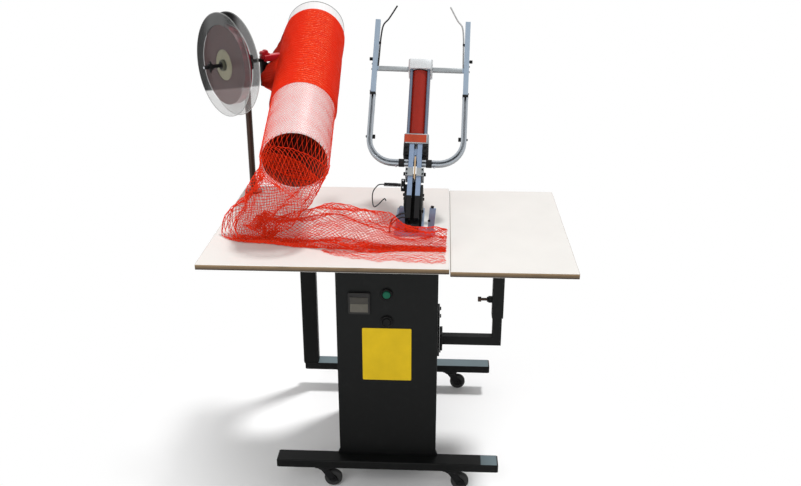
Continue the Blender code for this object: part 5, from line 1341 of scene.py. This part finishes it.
@dataclass
class ClippingHead:
    """The head below the cylinder: base, plates, jaw, guides, feed collar and its screws."""

    base_top: float = 0.7613

    def build(self, machine: Machine) -> None:
        """Finish the head's solids and add screws."""
        machine.paint(BLUE_STEEL, "head_base", edge=0.0006)
        machine.paint(BLUE_STEEL, "left_guide_bar", "right_guide_bar", "ram", edge=0.0003)
        machine.paint(OXIDE, "jaw_block", "anvil", "mount_block", edge=0.0004)
        machine.paint(CHARCOAL, "left_side_plate", "right_side_plate", edge=0.0005)
        machine.paint(DULL_SILVER, "feed_collar", edge=0.0005)
        machine.paint(BRASS, "knife", edge=0.0002)
        machine.paint(BRIGHT_STEEL, "piston_rod", edge=0.0003)
        spots = [at(x, y, self.base_top) for x, y in mm((29, 222), (112, 224), (29, 388), (83, 390))]
        bolts = Shape().fasten(Fastener.HEX, 0.0055, 0.005, spots)
        bolts.fasten(Fastener.SOCKET, 0.0042, 0.0045, [at(0.1155, 0.209, 0.8265) @ turn(5, "Y")])
        bolts.fasten(Fastener.PAN, 0.0032, 0.0022, [at(0.1075, 0.206, 0.793) @ turn(90, "X")])
        machine.add("base_bolts", bolts, OXIDE)
        screws, front = Shape(), turn(90, "X")
        for side in (-1, 1):
            out = turn(90 * side, "Y")
            spots = [at(side * 0.0238, y, z) @ out for y, z in mm((-8, 60), (20, 60), (4, 20), (24, -12))]
            screws.fasten(Fastener.SOCKET, 0.004, 0.0038, spots)
            spots = [at(side * 0.0205, -0.033, z) @ front for z in (0.1095, 0.1215)]
            screws.fasten(Fastener.SOCKET, 0.0024, 0.002, spots)
            spots = [at(side * 0.0245, -0.0325, z) @ front for z in (0.172, 0.187)]
            screws.fasten(Fastener.SOCKET, 0.0034, 0.003, spots)
            screws.fasten(Fastener.HEX, 0.005, 0.0052, [at(side * 0.0241, -0.015, 0.1155) @ out])
        machine.add("head_screws", screws, OXIDE, machine.head)


@dataclass
class Cylinder:
    """The air cylinder: two square caps, the red barrel, tie rods with collars, and a bare label."""

    half: float = 0.0325
    cut: float = 0.004
    cap: float = 0.028
    low: float = 0.196
    barrel: float = 0.195
    rod_gap: float = 0.02325
    rod: float = 0.004

    def build(self, machine: Machine) -> None:
        """Build the cylinder in the head's frame."""
        low, foot, top = self.low, self.low + self.cap, self.low + self.cap + self.barrel
        rods = Shape()
        for x in (-self.rod_gap, self.rod_gap):
            for y in (-self.rod_gap, self.rod_gap):
                collar = Shape.rod(self.rod + 0.0012, foot + 0.0001, foot + 0.003).bevelled(0.0005)
                rods.plus(Shape.rod(self.rod, foot + 0.0001, top - 0.0001).plus(collar).moved(at(x, y, 0)))
        machine.add("lower_cap", self.block(low, foot), DULL_SILVER, machine.head, replaces=("bottom_cap",))
        machine.add("tie_rods", rods, ROD_STEEL, machine.head)
        upper = self.block(top, top + self.cap)
        machine.add("upper_cap", upper, ALUMINIUM, machine.head, replaces=("top_cap",))
        wall = [(0.025, foot + 0.0003), (0.027, foot + 0.0003), (0.027, top - 0.0003), (0.025, top - 0.0003)]
        machine.add("barrel_wall", Shape.lathe(wall, 96), RED_LACQUER, machine.head, replaces=("barrel",))
        rings = Shape()
        for level in (foot + 0.0004, top - 0.0032):
            outline = mm((27.1, 0), (27.9, 0.4), (27.9, 2.2), (27.1, 2.8))
            rings.plus(Shape.lathe([(radius, level + up) for radius, up in outline], 96))
        machine.add("barrel_seals", rings, BLACK_PLASTIC, machine.head)
        outline = rounded(-0.0315, low + 0.0032, 0.0265, foot - 0.0026, 0.0012)
        label = Shape.prism(outline, -self.half - 0.0004, -self.half + 0.0002, Axis.Y).bevelled(0.00012, 1)
        machine.add("cap_label", label, LABEL_RED, machine.head)

    def block(self, low: float, high: float) -> Shape:
        """Make one square cap with cut corners and eased edges."""
        half, near = self.half, self.half - self.cut
        outline = [(-half, -near), (-near, -half), (near, -half), (half, -near), (half, near), (near, half),
                   (-near, half), (-half, near)]
        return Shape.prism(outline, low, high).bevelled(0.0008)


@dataclass
class ClipFeed:
    """The curved tracks, straight magazines, pushers and the small clamps on them."""

    centre: float = 0.1245
    level_y: float = -0.02
    magazine: float = 0.0138
    brace: float = 0.4205
    top: float = 0.57
    joint: float = 0.2165

    def build(self, machine: Machine) -> None:
        """Finish both feeds and add their clamps."""
        machine.paint(TRACK_STEEL, "left_track", "right_track", edge=0.0004)
        machine.paint(MAGAZINE_STEEL, "left_magazine", "right_magazine", edge=0.0004)
        machine.paint(BLACK_PLASTIC, "left_pusher", "right_pusher", edge=0.0005)
        knobs, clamps, bolts, braces = Shape(), Shape(), Shape(), Shape()
        y, half = self.level_y, self.magazine / 2
        for side in (-1, 1):
            out, front = turn(90 * side, "Y"), turn(90, "X")
            spot = at(side * 0.1148, y, 0.5)
            knobs.plus(Shape.rod(0.003, -0.0035, 0.0035, 16).bevelled(0.0006).moved(spot))
            knobs.fasten(Fastener.SOCKET, 0.0022, 0.0022, [spot @ front @ at(0, 0, 0.0026)])
            lug = Shape().block((-0.0035, -0.0045, -0.0045), (0.0035, 0.0045, 0.0045), 0.0008)
            place = at(side * (self.centre - 0.011), y, self.joint)
            clamps.plus(lug.moved(place))
            clamps.fasten(Fastener.SOCKET, 0.0026, 0.0026, [at(0, -0.0045, 0) @ place @ front])
            spot = at(side * (self.centre + 0.0075), y, self.joint) @ out
            clamps.fasten(Fastener.SOCKET, 0.003, 0.003, [spot])
            spots = [at(side * (self.centre + 0.00725), y, level) @ out for level in (0.352, 0.418, 0.434)]
            clamps.fasten(Fastener.SOCKET, 0.0022, 0.0018, spots)
            wide = half + 0.001
            cuff = Shape().block((-wide, -wide, 0.3384), (wide, wide, 0.3462), 0.0006)
            clamps.plus(cuff.moved(at(side * self.centre, y, 0)))
            near, far = sorted((side * 0.0285, side * 0.0435))
            clamps.block((near, y - 0.0082, 0.1355), (far, y + 0.0082, 0.1525), 0.0008)
            bolts.fasten(Fastener.HEX, 0.0032, 0.0034, [at(side * 0.05, y, 0.1362) @ turn(180, "X")])
            near, far = sorted((side * 0.033, side * (self.centre - half - 0.0036)))
            low, high = self.brace - 0.006, self.brace + 0.006
            braces.block((near, y - 0.0042, low), (far, y + 0.0042, high), 0.0005)
            wire = Shape.tube(self.wire(side), lambda share: 0.0022, 10)
            name, finish = ("left", WIRE) if side < 0 else ("right", GREY_WIRE)
            machine.add(f"{name}_clip_wire", wire, finish, machine.head)
        machine.add("wire_clips", knobs, OXIDE, machine.head)
        machine.add("track_clamps", clamps, OXIDE, machine.head)
        machine.add("track_bolts", bolts, BRIGHT_STEEL, machine.head)
        machine.add("brace_bars", braces, DULL_SILVER, machine.head)

    def wire(self, side: int) -> list[Vector]:
        """Return the route of the wire that guides the clips into one magazine."""
        lean, foot, top = self.magazine / 2, self.brace, self.top
        edge = self.centre - lean - 0.0018
        rise = top - foot
        route = [(edge, foot), (edge - lean / 6, foot + rise / 3), (edge - lean / 3, top - rise / 3),
                 (edge - lean, top - 2 * lean), (edge - 3 * lean, top + lean),
                 (edge - 6 * lean, top + 7 * lean)]
        return smooth_route([Vector((side * x, self.level_y, z)) for x, z in route], 6)


@dataclass
class Trigger:
    """The trigger switch and its sprung whisker."""

    level: float = 0.088
    pivot_x: float = -0.0394
    ball: float = 0.0044
    start: float = 0.004
    pitch: float = 0.0021
    turns: int = 17
    turns_radius: float = 0.0042

    def build(self, machine: Machine) -> None:
        """Finish the switch and add its whisker and screws."""
        machine.paint(BLACK_PLASTIC, "trigger_switch", edge=0.0005)
        whisker = Shape.tube(self.coil(), lambda share: 0.0009, 8)
        whisker.plus(Shape.tube(self.hook(), lambda share: 0.0015, 10))
        whisker.plus(Shape.rod(self.ball, -self.ball, self.ball, 24).bevelled(0.0012, 3).moved(turn(90, "Y")))
        place = machine.head @ at(self.pivot_x, -0.004, self.level)
        machine.add("whisker_wire", whisker, WIRE, place, "trigger", ("trigger_whisker",), 60)
        spots = [at(-0.029, -0.012, self.level + up) @ turn(90, "X") for up in (-0.01, 0.01)]
        screws = Shape().fasten(Fastener.PAN, 0.0022, 0.0014, spots)
        machine.add("switch_screws", screws, BRIGHT_STEEL, machine.head)

    def coil(self) -> list[Vector]:
        """Return the turns of the whisker's spring, from the ball out to the left."""
        steps = 16
        ways = [(i, math.tau * i / steps) for i in range(self.turns * steps + 1)]
        return [Vector((-self.start - self.pitch * i / steps, self.turns_radius * math.cos(way),
                        self.turns_radius * math.sin(way))) for i, way in ways]

    def hook(self) -> list[Vector]:
        """Return the route of the whisker's core and hook."""
        end, pitch = -self.start - self.turns * self.pitch, self.pitch * 1.2
        bends = ((-2, 0), (-7, -2), (-11, -9), (-11, -18), (-9, -25), (-5, -23), (1, -16), (3, -18))
        route = [Vector((end + out * pitch, 0, up * pitch)) for out, up in bends]
        return smooth_route([Vector((-self.start, 0, 0)), *route], 6)


@dataclass
class Hoses:
    """Two thin air hoses that leave the jaw's side and drop through the board."""

    diameter: float = 0.004
    lengths: Pair = (0.080, 0.088)
    board: float = 0.75
    through: float = 0.015

    def build(self, machine: Machine) -> None:
        size, board = self.diameter, self.board
        for index, length in enumerate(self.lengths):
            rise, apart = index * size * 2, (index - 1) * size * 1.5
            x, y = 0.006, 0.239 + apart
            start = Vector((0.0459, 0.237 + apart, board + 0.042 + rise))
            first, second = start + Vector((-size * 2, 0, 0)), start + Vector((-size * 5, 0, -size * 1.5))
            drop = ((x + size, y, board + size * 5 + rise), (x, y, board), (x, y, board - self.through))
            route = smooth_route([start, first, second, *(Vector(place) for place in drop)], 6)
            curve = bpy.data.curves.new(f"hose_{index + 1}", "CURVE")
            curve.dimensions = "3D"
            curve.bevel_depth = size / 2
            curve.bevel_resolution = 4
            curve.use_fill_caps = True
            spline = curve.splines.new("POLY")
            spline.points.add(len(route) - 1)
            for target, point in zip(spline.points, route):
                target.co = (*(machine.origin @ point), 1)
            spline.use_smooth = True
            curve.materials.append(HOSE.material())
            item = bpy.data.objects.new(f"hose_{index + 1}", curve)
            machine.adopt(item, HOSE, "stand", (f"air_hose_{index + 1}",))


@dataclass
class Studio:
    """Camera, floor and light."""

    place: Triple = (0.1367, -1.9142, 1.5774)
    yaw: float = 2.73
    pitch: float = 21.74
    lens: float = 40.18
    near: float = 0.3
    far: float = 0.85
    shade: float = 0.42

    def build(self, machine: Machine) -> None:
        """Set up the view of the photograph on a plain pale floor."""
        scene = bpy.context.scene
        data = bpy.data.cameras.new("camera")
        data.lens = self.lens
        data.sensor_width = 36
        data.clip_end = 50
        camera = self.link(bpy.data.objects.new("camera", data))
        aim = turn(self.yaw, "Z") @ turn(90 - self.pitch, "X")
        camera.matrix_world = machine.origin @ at(*self.place) @ aim
        scene.camera = camera
        scene.view_settings.view_transform = "Standard"
        self.floor()
        self.sky(scene)
        sun = {"energy": 2.1, "angle": math.radians(8)}
        self.lamp("sun", "SUN", sun, Vector((0, 0, 0)), Vector((-0.31, -0.25, -1)))
        place = Vector((-1.2, -3.0, 2.4))
        fill = {"shape": "SQUARE", "size": 2.4, "energy": 46}
        self.lamp("fill", "AREA", fill, place, Vector((0.05, 0, 0.75)) - place)

    @staticmethod
    def link(item: bpy.types.Object) -> bpy.types.Object:
        """Put an object into the scene."""
        bpy.context.scene.collection.objects.link(item)
        return item

    def floor(self) -> None:
        """Lay the pale floor."""
        shape = Shape()
        bmesh.ops.create_grid(shape.mesh, x_segments=1, y_segments=1, size=30)
        mesh = bpy.data.meshes.new("floor")
        shape.mesh.to_mesh(mesh)
        shape.mesh.free()
        graph = Graph(bpy.data.materials.new("studio_floor"))
        tone = graph.grain(0.8, detail=2)
        graph.set("Base Color", graph.mix(tinted((0.93,) * 3), tinted((0.95,) * 3), tone))
        graph.set("Roughness", 0.9)
        far = graph.node("ShaderNodeVectorMath", {"operation": "LENGTH"}, {0: graph.place()}, "Value")
        seen = graph.node("ShaderNodeLightPath", output="Is Camera Ray")
        glow = graph.node("ShaderNodeEmission", {}, {"Color": (1, 1, 1, 1), "Strength": 1.0})
        lit = Field(graph, graph.surface.outputs[0])
        inputs = {0: far.smooth(self.near, self.far) * seen, 1: lit, 2: glow}
        output = graph.tree.nodes["Material Output"]
        graph.feed(output.inputs["Surface"], graph.node("ShaderNodeMixShader", {}, inputs))
        mesh.materials.append(graph.owner)
        self.link(bpy.data.objects.new("floor", mesh))

    def sky(self, scene: bpy.types.Scene) -> None:
        """Light the scene evenly, and let the camera see plain white behind the machine."""
        graph = Graph(bpy.data.worlds.new("studio"), "Background")
        scene.world = graph.owner
        seen = graph.node("ShaderNodeLightPath", output="Is Camera Ray")
        for name in ("Is Glossy Ray", "Is Transmission Ray"):
            seen = seen.larger(graph.node("ShaderNodeLightPath", output=name))
        inputs = {"Value": seen, "To Min": self.shade, "To Max": 1.0}
        graph.set("Strength", graph.node("ShaderNodeMapRange", {}, inputs))
        graph.set("Color", (1, 1, 1, 1))

    def lamp(self, name: str, kind: str, settings: dict[str, float | str], place: Vector,
             way: Vector) -> None:
        """Hang a light.

        Args:
            name: Its name.
            kind: The type of light.
            settings: Values for the light's own properties.
            place: Where it hangs.
            way: The way that it shines.
        """
        data = bpy.data.lights.new(name, kind)
        for key, value in settings.items():
            setattr(data, key, value)
        item = self.link(bpy.data.objects.new(name, data))
        item.location = place
        item.rotation_euler = way.to_track_quat("-Z", "Y").to_euler()


def main() -> None:
    """Build the machine in order."""
    logging.basicConfig(level=logging.INFO, format="%(message)s")
    machine = Machine()
    parts = (Studio(), Hoses(), Stand(), Casters(), Cabinet(), Panel(), Table(), TapeReel(), NetTube(),
             NetTail(), ClippingHead(), Cylinder(), ClipFeed(), Trigger())
    for part in parts:
        LOG.info("building %s", type(part).__name__)
        part.build(machine)


if __name__ == "__main__":
    main()
